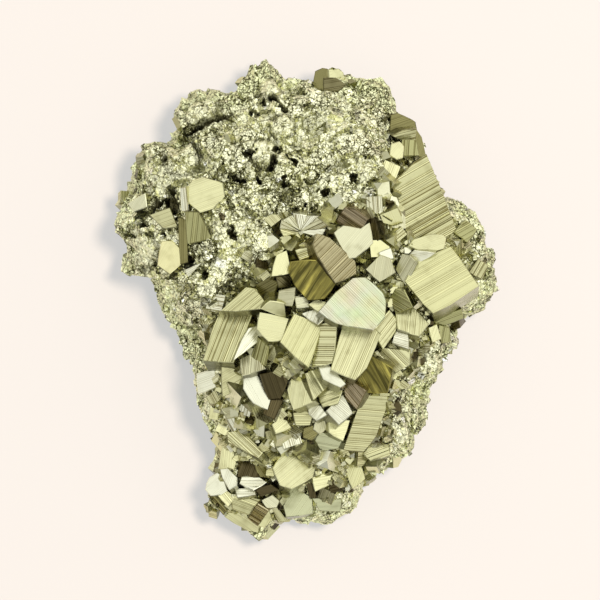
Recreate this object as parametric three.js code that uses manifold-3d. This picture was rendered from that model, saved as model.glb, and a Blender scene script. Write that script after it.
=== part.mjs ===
// Pyrite specimen: one lump of massive granular pyrite with striated crystals grown out of its top.
// Millimetres, +Z up. The lump rests on the flat cut at z = 0 and its box is centred on the Z axis.
import * as THREE from 'three';
import { ConvexGeometry } from 'three/addons/geometries/ConvexGeometry.js';
import { mergeVertices } from 'three/addons/utils/BufferGeometryUtils.js';
import Module from 'manifold-3d';

const wasm = await Module();
wasm.setup();

// Driving dimensions.
const TOP_HEIGHT = 23.5;
const RIDGE_CENTRE = [8, 2];
const RIDGE_RISE = 4.5;
const RIDGE_SPREAD = 13;
const SHOULDER_CENTRE = [-15, 16];
const SHOULDER_RISE = 2;
const SHOULDER_SPREAD = 10;
const TAIL_START = 10;
const TAIL_END = 36;
const TAIL_DROP = 6.5;
const WIDEST_SHARE = 0.42;
const WIDEST_SWING = 0.08;
const LOBES = 3;
const LOBE_TURN = 1;
const CUT_SHARE = 0.8;
const RIM_POWER = 2.7;
const RIM_POINTS = 72;
const SIDE_RINGS = 3;
const TOP_RINGS = 12;
const KNOB_SPACING = 9;
const KNOB_HEIGHT = 2.2;
const NODULE_SPACING = 3.8;
const NODULE_HEIGHT = 1.2;
const LOWEST_ABOVE_CUT = 0.5;
const GROWTH_SEED = 23;
const TOP_SMALL_CRYSTALS = 22;
const SIDE_SMALL_CRYSTALS = 34;
const SMALL_SIDE_MIN = 1.9;
const SMALL_SIDE_RANGE = 2.3;
const SMALL_SQUASH_MIN = 0.7;
const SMALL_SQUASH_RANGE = 0.5;
const SMALL_SINK = 0.3;
const TOP_INNER_SHARE = 0.3;
const TOP_OUTER_SHARE = 0.95;
const SIDE_SHARE = 0.97;
const SIDE_DRAW_IN = 0.13;
const SIDE_START = 1.15;
const HIDDEN_TAPER = 0.96;
const BLOCK_SIDE = 120;
const WELD_DISTANCE = 1e-5;
const SHORTEST_EDGE = 0.05;
const SHORTEST_REACH = 0.001;
const EVENING_REACH = 5;
const LATTICE_TURN = [127.1, 311.7, 74.7];
const LATTICE_SCALE = 43758.5453;
const DATUM_SHIFT = [0.09, 0.1];

// Outline of the lump seen from above, counter-clockwise from the top peak.
const OUTLINE = [
  [-6.6, 39.3], [-9.4, 37.8], [-12, 34.8], [-15.6, 33.7], [-18.4, 34], [-22, 31.9],
  [-22, 27.6], [-26.5, 26.3], [-28.8, 23.5], [-29.6, 18], [-31.6, 13], [-30.1, 8.2],
  [-31, 4.4], [-24.8, 4.2], [-22.9, -1.3], [-21, -6.4], [-19.2, -11], [-19, -17.1],
  [-16.2, -21.4], [-13.6, -25], [-14.8, -30], [-15.8, -33.2], [-13, -35], [-8.6, -38.9],
  [-5.4, -36.9], [-1.6, -36.3], [3, -37], [7.3, -35], [9.6, -31.5], [14, -29.1],
  [18.7, -26], [18.5, -20.8], [18.7, -15.5], [21.9, -12.4], [24.3, -7.3], [25.1, -2.6],
  [29.9, -0.8], [31.8, 3.4], [31.2, 8.7], [28.8, 14.2], [25.2, 17.2], [22.3, 17.9],
  [19.7, 22.6], [19.2, 27.8], [16.6, 30.2], [14.6, 32.6], [11.9, 34.9], [7.8, 35.7],
  [4.2, 37.4], [1.2, 36.8], [-1.4, 37.2], [-4.1, 37.1],
];

// Large and middle-sized crystals. Each row has the corners of the face seen from above (x, y, x, y, ...),
// how far the face stands clear of the lump, its rise per mm towards +X and +Y, and how deep the prism goes.
const CRYSTALS = {
  large_slab: [[14.6, 19.2, 20, 24, 25.4, 10.2, 17.8, 10, 16.2, 12.3], 1.6, [-0.42, -0.16], 8],
  large_cube: [[16.5, 3, 18.2, 5.9, 23.7, 8.5, 28.2, 2.3, 20.9, -2], 3.2, [0.05, -0.2], 9],
  cube_by_slab: [
    [17.2, 9, 18, 9.9, 20.5, 10.6, 22.3, 10.6, 22.9, 10.2, 22.5, 8.5, 20, 7.9],
    1.9, [-0.2, -0.3], 5,
  ],
  sliver_by_slab: [[17.2, 7.3, 18, 7.9, 21, 7.6, 18.5, 6.2], 2, [0.2, 0.3], 4],
  upper_face: [
    [14.2, 28.2, 14.4, 30.8, 15.4, 31.1, 17.2, 30.2, 18, 29.8, 18.3, 28.5, 16.4, 28],
    1.2, [-0.1, -0.1], 5,
  ],
  upper_ledge: [[14.6, 27.4, 16.2, 28, 18.2, 28.4, 18, 26.6, 16.2, 26.8], 1.4, [-0.3, 0.2], 4],
  upper_pale: [
    [14.1, 24.2, 14.3, 25.7, 15.4, 26.1, 16, 25.4, 15.9, 23.9, 15, 23.6],
    1.7, [-0.1, -0.2], 4,
  ],
  upper_stripes: [[16, 24.2, 16.2, 26.5, 18.1, 26.5, 18.6, 24.2], 1.4, [-0.2, -0.1], 4],
  upper_slope: [[18.2, 28.6, 18.4, 26.3, 18.9, 24.3, 20, 24, 19.3, 27], 0.8, [-0.5, -0.1], 4],
  knob_left: [[1.3, 36.2, 1.6, 38.2, 2.6, 38.7, 3.3, 38.6, 3.2, 35.3, 2.2, 35.3], 2.8, [0.2, -0.1], 5],
  knob_top: [[3.2, 38.6, 5.3, 38.7, 5.9, 38.2, 6.2, 37.2, 4.6, 36.9, 3.3, 37.1], 3.2, [-0.05, -0.05], 5],
  knob_foot: [[3.1, 35.3, 3.1, 37.1, 4.8, 37, 6.4, 36.1, 5.2, 35.2], 0.4, [-0.05, -0.05], 5],
  right_cube_a: [[15, 5, 15.9, 7.2, 17, 7, 18, 5.9, 16.4, 2.6], 1.1, [0.3, 0.1], 5],
  right_cube_b: [[10, 5, 12.2, 7.1, 13.6, 6.6, 14.4, 4.6, 12, 3.2], 1.5, [0.1, -0.25], 5],
  right_cube_c: [[12.2, 7.7, 13.8, 8.3, 14.2, 6.9, 12.8, 6.8], 1.2, [-0.2, -0.2], 3],
  right_cube_d: [[14, 0.2, 14.8, 1.4, 16, 1.3, 17.3, -1.2, 14.8, -2.1], 1.1, [0.4, 0.3], 4],
  right_cube_e: [[15, -2.4, 17.5, -1.4, 20, -4, 18.5, -5.8, 15.3, -4.8], 2.1, [-0.15, -0.3], 5],
  right_cube_f: [[13.7, -2, 15.1, -4.2, 12.7, -8, 11.2, -5], 1.3, [-0.3, -0.1], 5],
  right_cube_g: [[14.8, -5.3, 16.6, -5.8, 16.7, -8, 14.4, -7], 2.3, [0.1, -0.35], 4],
  right_cube_h: [[12.2, -9, 13, -8.2, 16.8, -8.7, 16.8, -10.6, 14.8, -11.9], 1.8, [0.25, 0.2], 4],
  right_cube_i: [[20.5, -4.9, 21.6, -4.4, 22.2, -6.4, 21, -6.9], 1.8, [-0.3, 0.1], 3],
  right_cube_j: [[22.2, -4.5, 23.7, -5, 24, -6.8, 22.6, -7.2], 0.9, [-0.4, 0.2], 3],
  right_bar: [[20.5, -3.6, 25.6, -1.8, 25.9, -3.2, 22, -4.6], 1.4, [-0.1, 0.5], 4],
  rim_cube_a: [[27.4, 4.6, 28.7, 6.4, 30.2, 5.6, 29.2, 3.6], 1, [-0.5, -0.1], 4],
  rim_cube_b: [[25, 11.2, 26.6, 13, 28.2, 11.6, 26.8, 9.8], 0.9, [-0.4, -0.2], 4],
  middle_brown: [
    [5.3, 13.2, 6.4, 14.9, 8, 14.6, 9.9, 13.2, 9, 11.7, 7.6, 11.6, 5.2, 12.8],
    1.4, [0.3, 0.35], 4,
  ],
  middle_pale: [
    [4.8, 10.9, 6.2, 12, 8.8, 11.5, 10.2, 12.5, 10.7, 9.4, 8.2, 7.3, 7, 7, 5.6, 9.3],
    2.4, [-0.1, -0.2], 6,
  ],
  middle_bar: [[10.4, 13, 11.2, 13.2, 12, 10.4, 11.3, 9.6], 1.4, [0.5, 0.1], 4],
  octagon_left: [
    [-2.5, 6, 2.2, 6.2, 4.6, 2.9, 2.8, 0.3, 0.2, 0.1, -1.6, 2.2, -2.6, 4.2],
    2.6, [0.26, 0.1], 7,
  ],
  octagon_right: [
    [1.8, 10.6, 3.9, 9.9, 7.8, 6.3, 8, 4.4, 4.7, 3, 2.2, 7, 1.3, 8.9],
    3.4, [-0.42, -0.2], 7,
  ],
  middle_blade: [[-4.8, 7.2, -3.4, 7.9, -2.8, 4.6, -5.6, 4.1], 1.6, [-0.2, -0.3], 4],
  middle_cube: [[-4.4, 1.3, -2, 1.8, -2.6, -0.9, -4.7, -0.6], 1.4, [0.25, 0.1], 4],
  middle_chip_a: [[0.6, -0.8, 1.6, -0.2, 3, -0.5, 2.2, -1.9], 1.4, [-0.2, -0.2], 3],
  middle_chip_b: [[-0.6, -2.4, 1.6, -1.8, 2.8, -3, 1.8, -3.9], 1.5, [0.1, -0.4], 3],
  bright_face: [
    [2.2, -2, 7.7, 3.3, 9.6, 3.4, 12.2, 1.2, 12.8, -0.2, 12.7, -2.8, 10.8, -4.8, 5, -3.7],
    3, [-0.16, -0.22], 8,
  ],
  left_parallelogram: [[-14.2, -2, -8.9, -2, -12.2, -10.2, -17, -10], 2.6, [0.1, -0.3], 7],
  left_roof: [[-14, -1.8, -10, 1.8, -8.8, 1.6, -7, -0.6, -8, -1.4], 1.9, [0.15, -0.3], 5],
  left_cube: [[-7.6, -2.3, -3.2, -3.3, -4.3, -6.6, -6.3, -6.6, -8, -4.9], 2.6, [-0.1, -0.3], 6],
  left_cube_back: [[-7.3, -1.6, -5.9, -0.5, -3.9, -0.8, -3.6, -2.9], 2, [-0.1, 0.6], 5],
  left_wedge: [[-9.6, -5, -8.2, -4.6, -8.4, -7, -12, -9.9], 2.7, [-0.3, -0.2], 4],
  left_olive: [[-8, -6.6, -6.5, -8, -6.9, -10.9, -9, -9.3], 1.7, [0.3, 0.2], 4],
  left_grey: [[-10.9, -10, -9.1, -9.2, -7, -11.4, -10.5, -12.4], 2.2, [0.1, -0.3], 4],
  left_white: [
    [-10.2, -12.7, -8.2, -12.3, -6.2, -16.3, -6.6, -18.1, -8.8, -16.9, -10.2, -14.9],
    2.1, [-0.2, -0.2], 5,
  ],
  left_brown: [[-7.6, -12.6, -4.6, -12.2, -3.5, -13.7, -4.5, -16.2, -6.2, -16.4], 1.7, [0.3, 0.3], 5],
  left_olive_low: [[-6.4, -16.5, -4, -16.7, -5.4, -19.6, -7, -18.8], 2.3, [0.1, -0.2], 4],
  left_round: [[-14, -11.3, -11.2, -12, -11, -14.3, -13.8, -16], 0.9, [-0.1, 0.1], 4],
  left_rough: [[-18.2, -12.6, -15.5, -12, -15.4, -14.5, -18, -15.6], 0.9, [0.35, 0.1], 4],
  left_red: [[-13.8, -19, -12.6, -18.7, -11.2, -21.2, -12.4, -22], 2.1, [0.3, 0.2], 4],
  low_square: [[-2, -2.6, 2.3, -4.5, 0.3, -11, -4.1, -7], 2.7, [-0.12, -0.24], 7],
  low_bands: [[2.3, -4.4, 3.6, -4, 4.8, -4.6, 4.1, -10.2, 1, -11], 2.2, [0.3, -0.1], 6],
  low_striped: [[6.3, -3.7, 11, -4.9, 12, -5.9, 9.8, -11, 8, -13, 4.2, -11.4], 2.9, [-0.06, -0.22], 8],
  low_gold: [[10.6, -9.5, 14, -11.6, 13.2, -15.4, 10, -15.2, 8, -13.4], 1.8, [0.2, 0.3], 6],
  low_tall: [[9.9, -15.4, 13.8, -15.9, 11.5, -22.5, 9.5, -25.2, 6.3, -24.8], 2.4, [-0.3, 0.05], 7],
  low_crescent: [[2.1, -11, 2.9, -10.2, 6.2, -13.8, 5.4, -14.3, 3, -13], 3.6, [-0.1, -0.3], 4],
  low_pair_left: [[-2.4, -13, -0.1, -12.4, 1.2, -16.7, -2.2, -18, -3, -15], 2.2, [0.3, -0.2], 5],
  low_pair_right: [[0, -12.4, 2, -11.6, 3.2, -14.4, 1.2, -16.4], 2.3, [-0.5, -0.2], 5],
  low_framed: [[2.1, -15.9, 3, -14.9, 5.8, -14.7, 4.9, -17, 2.8, -17.6], 1.9, [0.1, -0.3], 4],
  low_white: [[6, -16.1, 7.4, -18.8, 5.4, -20.5, 3.6, -18.4], 3.5, [-0.2, -0.3], 5],
  low_brown: [[6.3, -14, 7.6, -13.9, 9.6, -15.1, 8.2, -18, 6.6, -16.2], 1.9, [0.35, 0.1], 4],
  low_pale: [[4, -20.2, 7, -20.3, 6, -23.3, 4, -22], 2.7, [-0.3, -0.1], 4],
  low_green: [[1.5, -23.7, 2.5, -22.3, 5.8, -23.3, 6.2, -24.6, 2.2, -25.2], 1.3, [0.1, 0.3], 4],
  low_chip_a: [[-5.5, -20.8, -4, -19.4, -2.8, -21.3, -5, -22.1], 1.2, [-0.2, -0.2], 3],
  low_chip_b: [[-2, -19, 0.9, -18.6, 0.4, -20.8, -1.6, -20.8], 1.2, [-0.2, 0.2], 3],
  low_chip_c: [[9.8, -25.8, 11.3, -24.1, 13.5, -24.5, 13.8, -26, 11, -26.8], 1.2, [-0.2, -0.3], 4],
  low_chip_d: [[6.6, -28.4, 9, -27.4, 9.6, -30, 7.8, -31.5], 1.9, [-0.3, -0.1], 4],
  tail_block: [[-13, -22.3, -10.6, -22.3, -7.6, -25.4, -8.3, -26.2, -12.9, -23.8], 2.1, [0.2, -0.3], 5],
  tail_post: [[-14, -24.6, -13.3, -24.3, -12, -25.6, -12.3, -28.5, -14.7, -28.2], 1.3, [0.3, -0.1], 4],
  tail_pale: [
    [-5.4, -28.2, -4.2, -26.5, -1.3, -25.8, 1.2, -28.4, 0.8, -29.6, -2.5, -31.4, -4.3, -30.8],
    2.4, [-0.12, -0.22], 7,
  ],
  tail_cube_a: [[-11, -30.8, -10.6, -29.8, -8.5, -29.8, -7, -30.6, -9, -31.7], 1.5, [0.1, -0.4], 4],
  tail_cube_b: [
    [-16.8, -31.9, -16.2, -30.2, -15, -29.4, -14.3, -30, -13.6, -32, -14.6, -32.6, -16, -32.8],
    1.8, [0.25, -0.1], 4,
  ],
  tail_cube_c: [
    [-14.3, -28.7, -13.2, -28.6, -12, -29.8, -11.9, -31, -13, -31.6, -13.9, -29.9],
    2, [0.2, -0.3], 4,
  ],
  tail_barred: [[-16.4, -33.3, -15.2, -32.9, -13.1, -34.9, -14.2, -36.1], 2.6, [0.2, 0.1], 4],
  tail_bright: [[-14.8, -32.9, -13.4, -32.4, -12.3, -33.2, -13.2, -34.6], 2.3, [0.1, -0.1], 4],
  tail_olive: [[-12.4, -33.8, -11.6, -33, -8, -33.7, -9.3, -36.3, -12.2, -35.2], 1.6, [0.1, 0.2], 5],
  tail_red: [[-8, -34.3, -6.5, -35.4, -8.2, -37.8, -9.6, -36.7], 2, [-0.1, 0.2], 4],
  tail_toe: [
    [-12.6, -35.7, -10.2, -36.4, -8, -38.2, -8.4, -39.3, -10, -38.8, -13.6, -36.8],
    1.6, [0.05, 0.15], 4,
  ],
  tail_column: [[-6, -34.9, -5.1, -35, -3.4, -37.2, -4.8, -37.4], 1, [-0.2, 0.2], 4],
  tail_wedge: [[-6.4, -35.8, -6, -37.2, -7, -38.2, -7.9, -38], 1.4, [-0.1, 0.2], 4],
  tail_brown: [[-8.4, -31.9, -6.3, -31.3, -5, -31.9, -7.5, -32.9], 1.7, [0.2, 0.3], 3],
  tail_chip_a: [[-7.3, -33.8, -5.8, -33.1, -4.8, -33.9, -5.2, -34.8, -6.6, -34.9], 1.4, [-0.2, 0.1], 3],
  tail_chip_b: [[1.2, -30, 4.2, -29, 3.6, -31, 1.6, -32], 1.2, [-0.2, -0.1], 4],
  tail_chip_c: [[1.2, -33.6, 5.6, -33.8, 5.4, -35.6, 2.4, -35.4], 0.9, [-0.1, 0.3], 4],
  shoulder_plate: [
    [-19.6, 18, -18.9, 19.6, -17, 20, -14.2, 19.2, -13.9, 17.2, -15.6, 15.4, -17.7, 14.7, -19.5, 16.3],
    0.8, [0.12, -0.2], 5,
  ],
  shoulder_olive: [[-20, 14.3, -18, 14.2, -16, 10.4, -19.7, 9.4], 1.3, [0.2, 0.1], 5],
  shoulder_yellow: [
    [-24, 9.5, -22.5, 9.5, -21.2, 8.2, -21.2, 6, -22.8, 4.5, -24.6, 5.8],
    1.2, [0.2, -0.2], 5,
  ],
  shoulder_chip_a: [[-25.8, 14, -22.9, 15, -21.7, 12.2, -23.8, 12.1], 1.2, [0.1, -0.2], 4],
  shoulder_chip_b: [[-29.7, 16, -27.2, 17.5, -27, 15.6, -28.8, 14.9], 1.2, [0.5, -0.1], 3],
  fan_a: [[-1.3, 11.3, -4.1, 11.8, -3.9, 12.9], 1.5, [-0.25, 0.1], 3],
  fan_b: [[-1.3, 11.6, -3.7, 13, -2.3, 13.6], 1.5, [-0.15, 0.2], 3],
  fan_c: [[-1.1, 11.6, -2.1, 14, -0.2, 13.7], 1.7, [0.05, 0.3], 3],
  fan_d: [[-0.9, 11.5, 0.1, 13.5, 1.7, 13.6], 1.8, [0.2, 0.2], 3],
  fan_e: [[-0.8, 11.4, 1.7, 13.3, 3.2, 12.1, 2.2, 11.7], 1.7, [0.25, 0.1], 3],
  fan_f: [[-0.9, 11.2, 2.8, 11.6, 2.2, 10.4], 1.6, [0.25, 0], 3],
  fan_g: [[-1.5, 11.1, -4.2, 11.6, -3.6, 10.6], 1.3, [-0.25, 0], 3],
  white_chip: [[-1.8, 0.4, 0, 0.2, 0.2, -1.1, -1.5, -1.2], 1, [0.1, -0.3], 3],
  rim_dark: [[23.9, -3.6, 25.4, -3.1, 25.7, -4.6, 24.4, -5.2], 0.6, [0.3, 0.3], 3],
  low_grey_a: [[-0.3, -21.6, 0.9, -21.2, 1.6, -22.2, 0.8, -23.2, -0.4, -22.9], 1.6, [0.1, -0.2], 3],
  low_grey_b: [[1.7, -20.6, 2.9, -20.4, 3.2, -21.5, 2.2, -22.2, 1.4, -21.6], 1.2, [-0.2, 0.1], 3],
  low_pale_b: [[0.4, -17.3, 2.2, -17.9, 3.1, -19.1, 1.6, -19.9, 0.6, -18.9], 2.2, [0.1, -0.2], 3],
  tail_bar: [[-11.8, -31.9, -9, -31.8, -8.8, -32.7, -11.4, -33.1], 2, [0.1, -0.3], 3],
  tail_rough: [[-4, -33, -2.3, -31.7, 0.7, -33.5, 0.8, -35.8, -3.3, -36.4], 1, [0.05, -0.15], 4],
  tail_dark: [[0, -30.9, 1.1, -31.1, 1.4, -33.2, 0.5, -33.1], 0.9, [0.3, 0.2], 3],
  shoulder_strip: [[-20.9, 18.2, -20.1, 18.4, -19.8, 15, -20.7, 14.9], 1.9, [0.4, 0.1], 3],
  shoulder_post: [[-21.3, 13.3, -20.1, 13, -19.8, 6.5, -21, 6.2], 1.2, [0.2, -0.1], 3],
  shoulder_blade: [[-20, 4.9, -17.7, 5.9, -19.6, 3.9], 1.6, [0.1, 0.3], 3],
  patch_left: [[-1.6, 8, 0.6, 8.4, 1.2, 7, -1, 6.6], 1.8, [-0.1, 0.3], 3],
  top_lump: [[-9, 25.5, -7.5, 27, -5.3, 25.9, -5.8, 22.4, -8, 22.2], 1.6, [0.1, -0.1], 5],
  top_small_lump: [[-10.2, 21.5, -8.6, 22.2, -8, 20, -9.6, 19.8], 1.2, [0.2, 0.1], 4],
  top_brown_lump: [[-6.2, 30, -2.4, 30.2, -2, 28, -4.5, 27.2], 1.4, [0.1, 0.15], 4],
};

function rimPoints() {
  const corners = OUTLINE.map(([x, y]) => new THREE.Vector3(x, y, 0));
  const curve = new THREE.CatmullRomCurve3(corners, true, 'catmullrom', 0.5);
  return curve.getSpacedPoints(RIM_POINTS).slice(0, RIM_POINTS);
}

const RIM = rimPoints();

// The outline with its small bays and points evened out, as it runs at the cut.
const EVENED_RIM = RIM.map((rim, index) => {
  const evened = new THREE.Vector3();
  for (let i = -EVENING_REACH; i <= EVENING_REACH; i += 1) {
    const near = RIM[(index + i + RIM_POINTS) % RIM_POINTS];
    evened.addScaledVector(near, 1 / (2 * EVENING_REACH + 1));
  }
  return evened;
});

// How far out a place is: 0 on the axis, 1 on the outline.
function shareOfRim(x, y) {
  for (let i = 0; i < RIM.length; i += 1) {
    const a = RIM[i];
    const b = RIM[(i + 1) % RIM.length];
    const turn = a.x * b.y - a.y * b.x;
    const alongA = (x * b.y - y * b.x) / turn;
    const alongB = (a.x * y - a.y * x) / turn;
    if (alongA >= 0 && alongB >= 0) {
      return alongA + alongB;
    }
  }
  return 0;
}

// A soft swelling round a centre: 1 in the middle, dying away over the spread.
function swellAt(x, y, [centreX, centreY], spread) {
  return Math.exp(-((x - centreX) ** 2 + (y - centreY) ** 2) / (2 * spread ** 2));
}

// Height of the top of the lump away from its rim.
function domeHeight(x, y) {
  const ridge = RIDGE_RISE * swellAt(x, y, RIDGE_CENTRE, RIDGE_SPREAD);
  const shoulder = SHOULDER_RISE * swellAt(x, y, SHOULDER_CENTRE, SHOULDER_SPREAD);
  const tail = TAIL_DROP * THREE.MathUtils.smoothstep(-y, TAIL_START, TAIL_END);
  return TOP_HEIGHT + ridge + shoulder - tail;
}

// Height of the widest line as a share of the whole height; it goes up and down round the lump.
function widestShare(x, y) {
  return WIDEST_SHARE + WIDEST_SWING * Math.sin(LOBES * Math.atan2(y, x) + LOBE_TURN);
}

function surfaceHeight(x, y) {
  const share = Math.min(shareOfRim(x, y), 1);
  const widest = widestShare(x, y);
  const rounding = (1 - share ** RIM_POWER) ** (1 / RIM_POWER);
  return domeHeight(x, y) * (widest + (1 - widest) * rounding);
}

// A value between -1 and 1 that belongs to one corner of a cubic lattice.
function cornerValue(i, j, k) {
  const turn = i * LATTICE_TURN[0] + j * LATTICE_TURN[1] + k * LATTICE_TURN[2];
  const wave = Math.sin(turn) * LATTICE_SCALE;
  return 2 * (wave - Math.floor(wave)) - 1;
}

// Smooth bumps with one value for each cell of the given spacing.
function bumps(place, spacing) {
  const cell = place.clone().divideScalar(spacing).floor();
  const inside = place.clone().divideScalar(spacing).sub(cell);
  const blend = (t) => t * t * (3 - 2 * t);
  const mix = THREE.MathUtils.lerp;
  const along = (j, k) => mix(
    cornerValue(cell.x, cell.y + j, cell.z + k),
    cornerValue(cell.x + 1, cell.y + j, cell.z + k),
    blend(inside.x),
  );
  const low = mix(along(0, 0), along(1, 0), blend(inside.y));
  const high = mix(along(0, 1), along(1, 1), blend(inside.y));
  return mix(low, high, blend(inside.z));
}

// The way out of the lump at a place on it: level at the widest line, straight up on the crown.
function outwardAt(x, y, share, rounding) {
  const level = new THREE.Vector2(x, y);
  const reach = Math.max(level.length(), SHORTEST_REACH);
  const outward = (share ** (RIM_POWER - 1) * share) / reach;
  const upward = (rounding ** (RIM_POWER - 1)) / (TOP_HEIGHT * (1 - WIDEST_SHARE));
  return new THREE.Vector3(x * outward / reach, y * outward / reach, upward).normalize();
}

// Rings of the lump from the cut up to the crown: the share of the outline, how much of it is evened out,
// and how far up the side and over the rounding the ring lies.
function ringProfile() {
  const rings = [];
  for (let i = 0; i < SIDE_RINGS; i += 1) {
    const angle = (i / SIDE_RINGS) * (Math.PI / 2);
    const share = CUT_SHARE + (1 - CUT_SHARE) * Math.sin(angle);
    rings.push({ share, evened: Math.cos(angle), side: 1 - Math.cos(angle), rounding: 0 });
  }
  for (let i = 0; i < TOP_RINGS; i += 1) {
    const angle = (i / TOP_RINGS) * (Math.PI / 2);
    const share = Math.cos(angle) ** (2 / RIM_POWER);
    const rounding = Math.sin(angle) ** (2 / RIM_POWER);
    rings.push({ share, evened: 0, side: 1, rounding });
  }
  return rings;
}

// One place on the lump, with its knobs and nodules standing out from the plain rounded shape.
function lumpPlace(rim, evenedRim, ring) {
  const level = rim.clone().lerp(evenedRim, ring.evened).multiplyScalar(ring.share);
  const { x, y } = level;
  const widest = widestShare(x, y);
  const height = widest * ring.side + (1 - widest) * ring.rounding;
  const place = new THREE.Vector3(x, y, domeHeight(x, y) * height);
  const swell = KNOB_HEIGHT * bumps(place, KNOB_SPACING) + NODULE_HEIGHT * bumps(place, NODULE_SPACING);
  const onTheCut = place.z === 0;
  place.addScaledVector(outwardAt(x, y, ring.share, ring.rounding), swell);
  place.z = onTheCut ? 0 : Math.max(place.z, LOWEST_ABOVE_CUT);
  return place;
}

function lumpGeometry() {
  const places = [];
  ringProfile().forEach((ring) => {
    RIM.forEach((rim, index) => places.push(...lumpPlace(rim, EVENED_RIM[index], ring)));
  });
  const crown = places.length / 3;
  places.push(0, 0, domeHeight(0, 0));
  const foot = crown + 1;
  places.push(0, 0, 0);
  const faces = [];
  const lastRing = SIDE_RINGS + TOP_RINGS - 1;
  for (let i = 0; i < RIM_POINTS; i += 1) {
    const next = (i + 1) % RIM_POINTS;
    faces.push(foot, next, i);
    for (let level = 0; level < lastRing; level += 1) {
      const low = level * RIM_POINTS;
      const high = low + RIM_POINTS;
      faces.push(low + i, low + next, high + next);
      faces.push(low + i, high + next, high + i);
    }
    faces.push(lastRing * RIM_POINTS + i, lastRing * RIM_POINTS + next, crown);
  }
  const geometry = new THREE.BufferGeometry();
  geometry.setAttribute('position', new THREE.Float32BufferAttribute(places, 3));
  geometry.setIndex(faces);
  return geometry;
}

function solidFrom(geometry) {
  const bare = geometry.clone();
  bare.deleteAttribute('normal');
  bare.deleteAttribute('uv');
  const merged = mergeVertices(bare, WELD_DISTANCE);
  return new wasm.Manifold(new wasm.Mesh({
    numProp: 3,
    vertProperties: new Float32Array(merged.attributes.position.array),
    triVerts: new Uint32Array(merged.index.array),
  }));
}

// A prism whose top face has the given corners seen from above and lies in a tilted plane.
function crystalSolid([corners, lift, [riseX, riseY], depth]) {
  const plan = [];
  for (let i = 0; i < corners.length; i += 2) {
    plan.push(new THREE.Vector2(corners[i], corners[i + 1]));
  }
  const centre = new THREE.Vector2();
  plan.forEach((corner) => centre.addScaledVector(corner, 1 / plan.length));
  const height = surfaceHeight(centre.x, centre.y) + lift;
  const inward = new THREE.Vector3(riseX, riseY, -1).normalize().multiplyScalar(depth);
  const middle = new THREE.Vector3(centre.x, centre.y, height);
  const points = [];
  plan.forEach((corner) => {
    const rise = riseX * (corner.x - centre.x) + riseY * (corner.y - centre.y);
    const top = new THREE.Vector3(corner.x, corner.y, height + rise);
    points.push(top);
    points.push(top.clone().sub(middle).multiplyScalar(HIDDEN_TAPER).add(middle).add(inward));
  });
  return solidFrom(new ConvexGeometry(points));
}

// A block of a few millimetres, turned any way and half sunk in the lump.
function smallCrystalSolid(place, random) {
  const side = SMALL_SIDE_MIN + SMALL_SIDE_RANGE * random() ** 2;
  const squash = SMALL_SQUASH_MIN + SMALL_SQUASH_RANGE * random();
  const geometry = new THREE.BoxGeometry(side, side * squash, side);
  const turn = new THREE.Euler(random() * Math.PI, random() * Math.PI, random() * Math.PI);
  geometry.applyQuaternion(new THREE.Quaternion().setFromEuler(turn));
  geometry.translate(place.x, place.y, Math.max(place.z, side));
  return solidFrom(geometry);
}

// A place on the top, more often near the rim than near the middle.
function placeOnTop(random) {
  const rim = RIM[Math.floor(random() * RIM_POINTS)];
  const share = THREE.MathUtils.lerp(TOP_INNER_SHARE, TOP_OUTER_SHARE, Math.sqrt(random()));
  const x = rim.x * share;
  const y = rim.y * share;
  return new THREE.Vector3(x, y, surfaceHeight(x, y) - SMALL_SINK);
}

// A place on the side, from just over the widest line down towards the cut.
function placeOnSide(random) {
  const rim = RIM[Math.floor(random() * RIM_POINTS)];
  const down = random();
  const share = SIDE_SHARE - SIDE_DRAW_IN * down ** 2;
  const x = rim.x * share;
  const y = rim.y * share;
  return new THREE.Vector3(x, y, domeHeight(x, y) * widestShare(x, y) * (SIDE_START - down));
}

function aboveTheCut(solid) {
  const block = new THREE.BoxGeometry(BLOCK_SIDE, BLOCK_SIDE, BLOCK_SIDE);
  block.translate(0, 0, BLOCK_SIDE / 2);
  return solid.intersect(solidFrom(block));
}

// Pockets shut in between crowded crystals are solid pyrite, so only the outer surface is kept.
function outerSurface(solid) {
  const shells = solid.decompose();
  shells.sort((a, b) => b.volume() - a.volume());
  return shells[0];
}

function specimenSolid() {
  const random = THREE.MathUtils.seededRandom;
  random(GROWTH_SEED);
  const grown = [solidFrom(lumpGeometry())];
  Object.values(CRYSTALS).forEach((row) => grown.push(crystalSolid(row)));
  for (let i = 0; i < TOP_SMALL_CRYSTALS; i += 1) {
    grown.push(smallCrystalSolid(placeOnTop(random), random));
  }
  for (let i = 0; i < SIDE_SMALL_CRYSTALS; i += 1) {
    grown.push(smallCrystalSolid(placeOnSide(random), random));
  }
  return outerSurface(aboveTheCut(wasm.Manifold.union(grown)).simplify(SHORTEST_EDGE));
}

function geometryFrom(solid) {
  const mesh = solid.getMesh();
  const geometry = new THREE.BufferGeometry();
  geometry.setAttribute('position', new THREE.Float32BufferAttribute(mesh.vertProperties, 3));
  geometry.setIndex(Array.from(mesh.triVerts));
  geometry.translate(DATUM_SHIFT[0], DATUM_SHIFT[1], 0);
  const flat = geometry.toNonIndexed();
  flat.computeVertexNormals();
  return flat;
}

function pyriteMaterial() {
  return new THREE.MeshStandardMaterial({ color: 0xb9ae72, metalness: 0.9, roughness: 0.32 });
}

const specimen = new THREE.Mesh(geometryFrom(specimenSolid()), pyriteMaterial());
specimen.name = 'pyrite_specimen';

const group = new THREE.Group();
group.name = 'pyrite';
group.add(specimen);

export default group;
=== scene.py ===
"""Pyrite specimen: a granular lump of pyrite under a crust of striated crystals.

The CAD frame gives the box and the one body; this script gives the looks. Lengths in the tables are
millimetres, and the meshes are in metres.
"""

import functools
import itertools
import math

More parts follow.
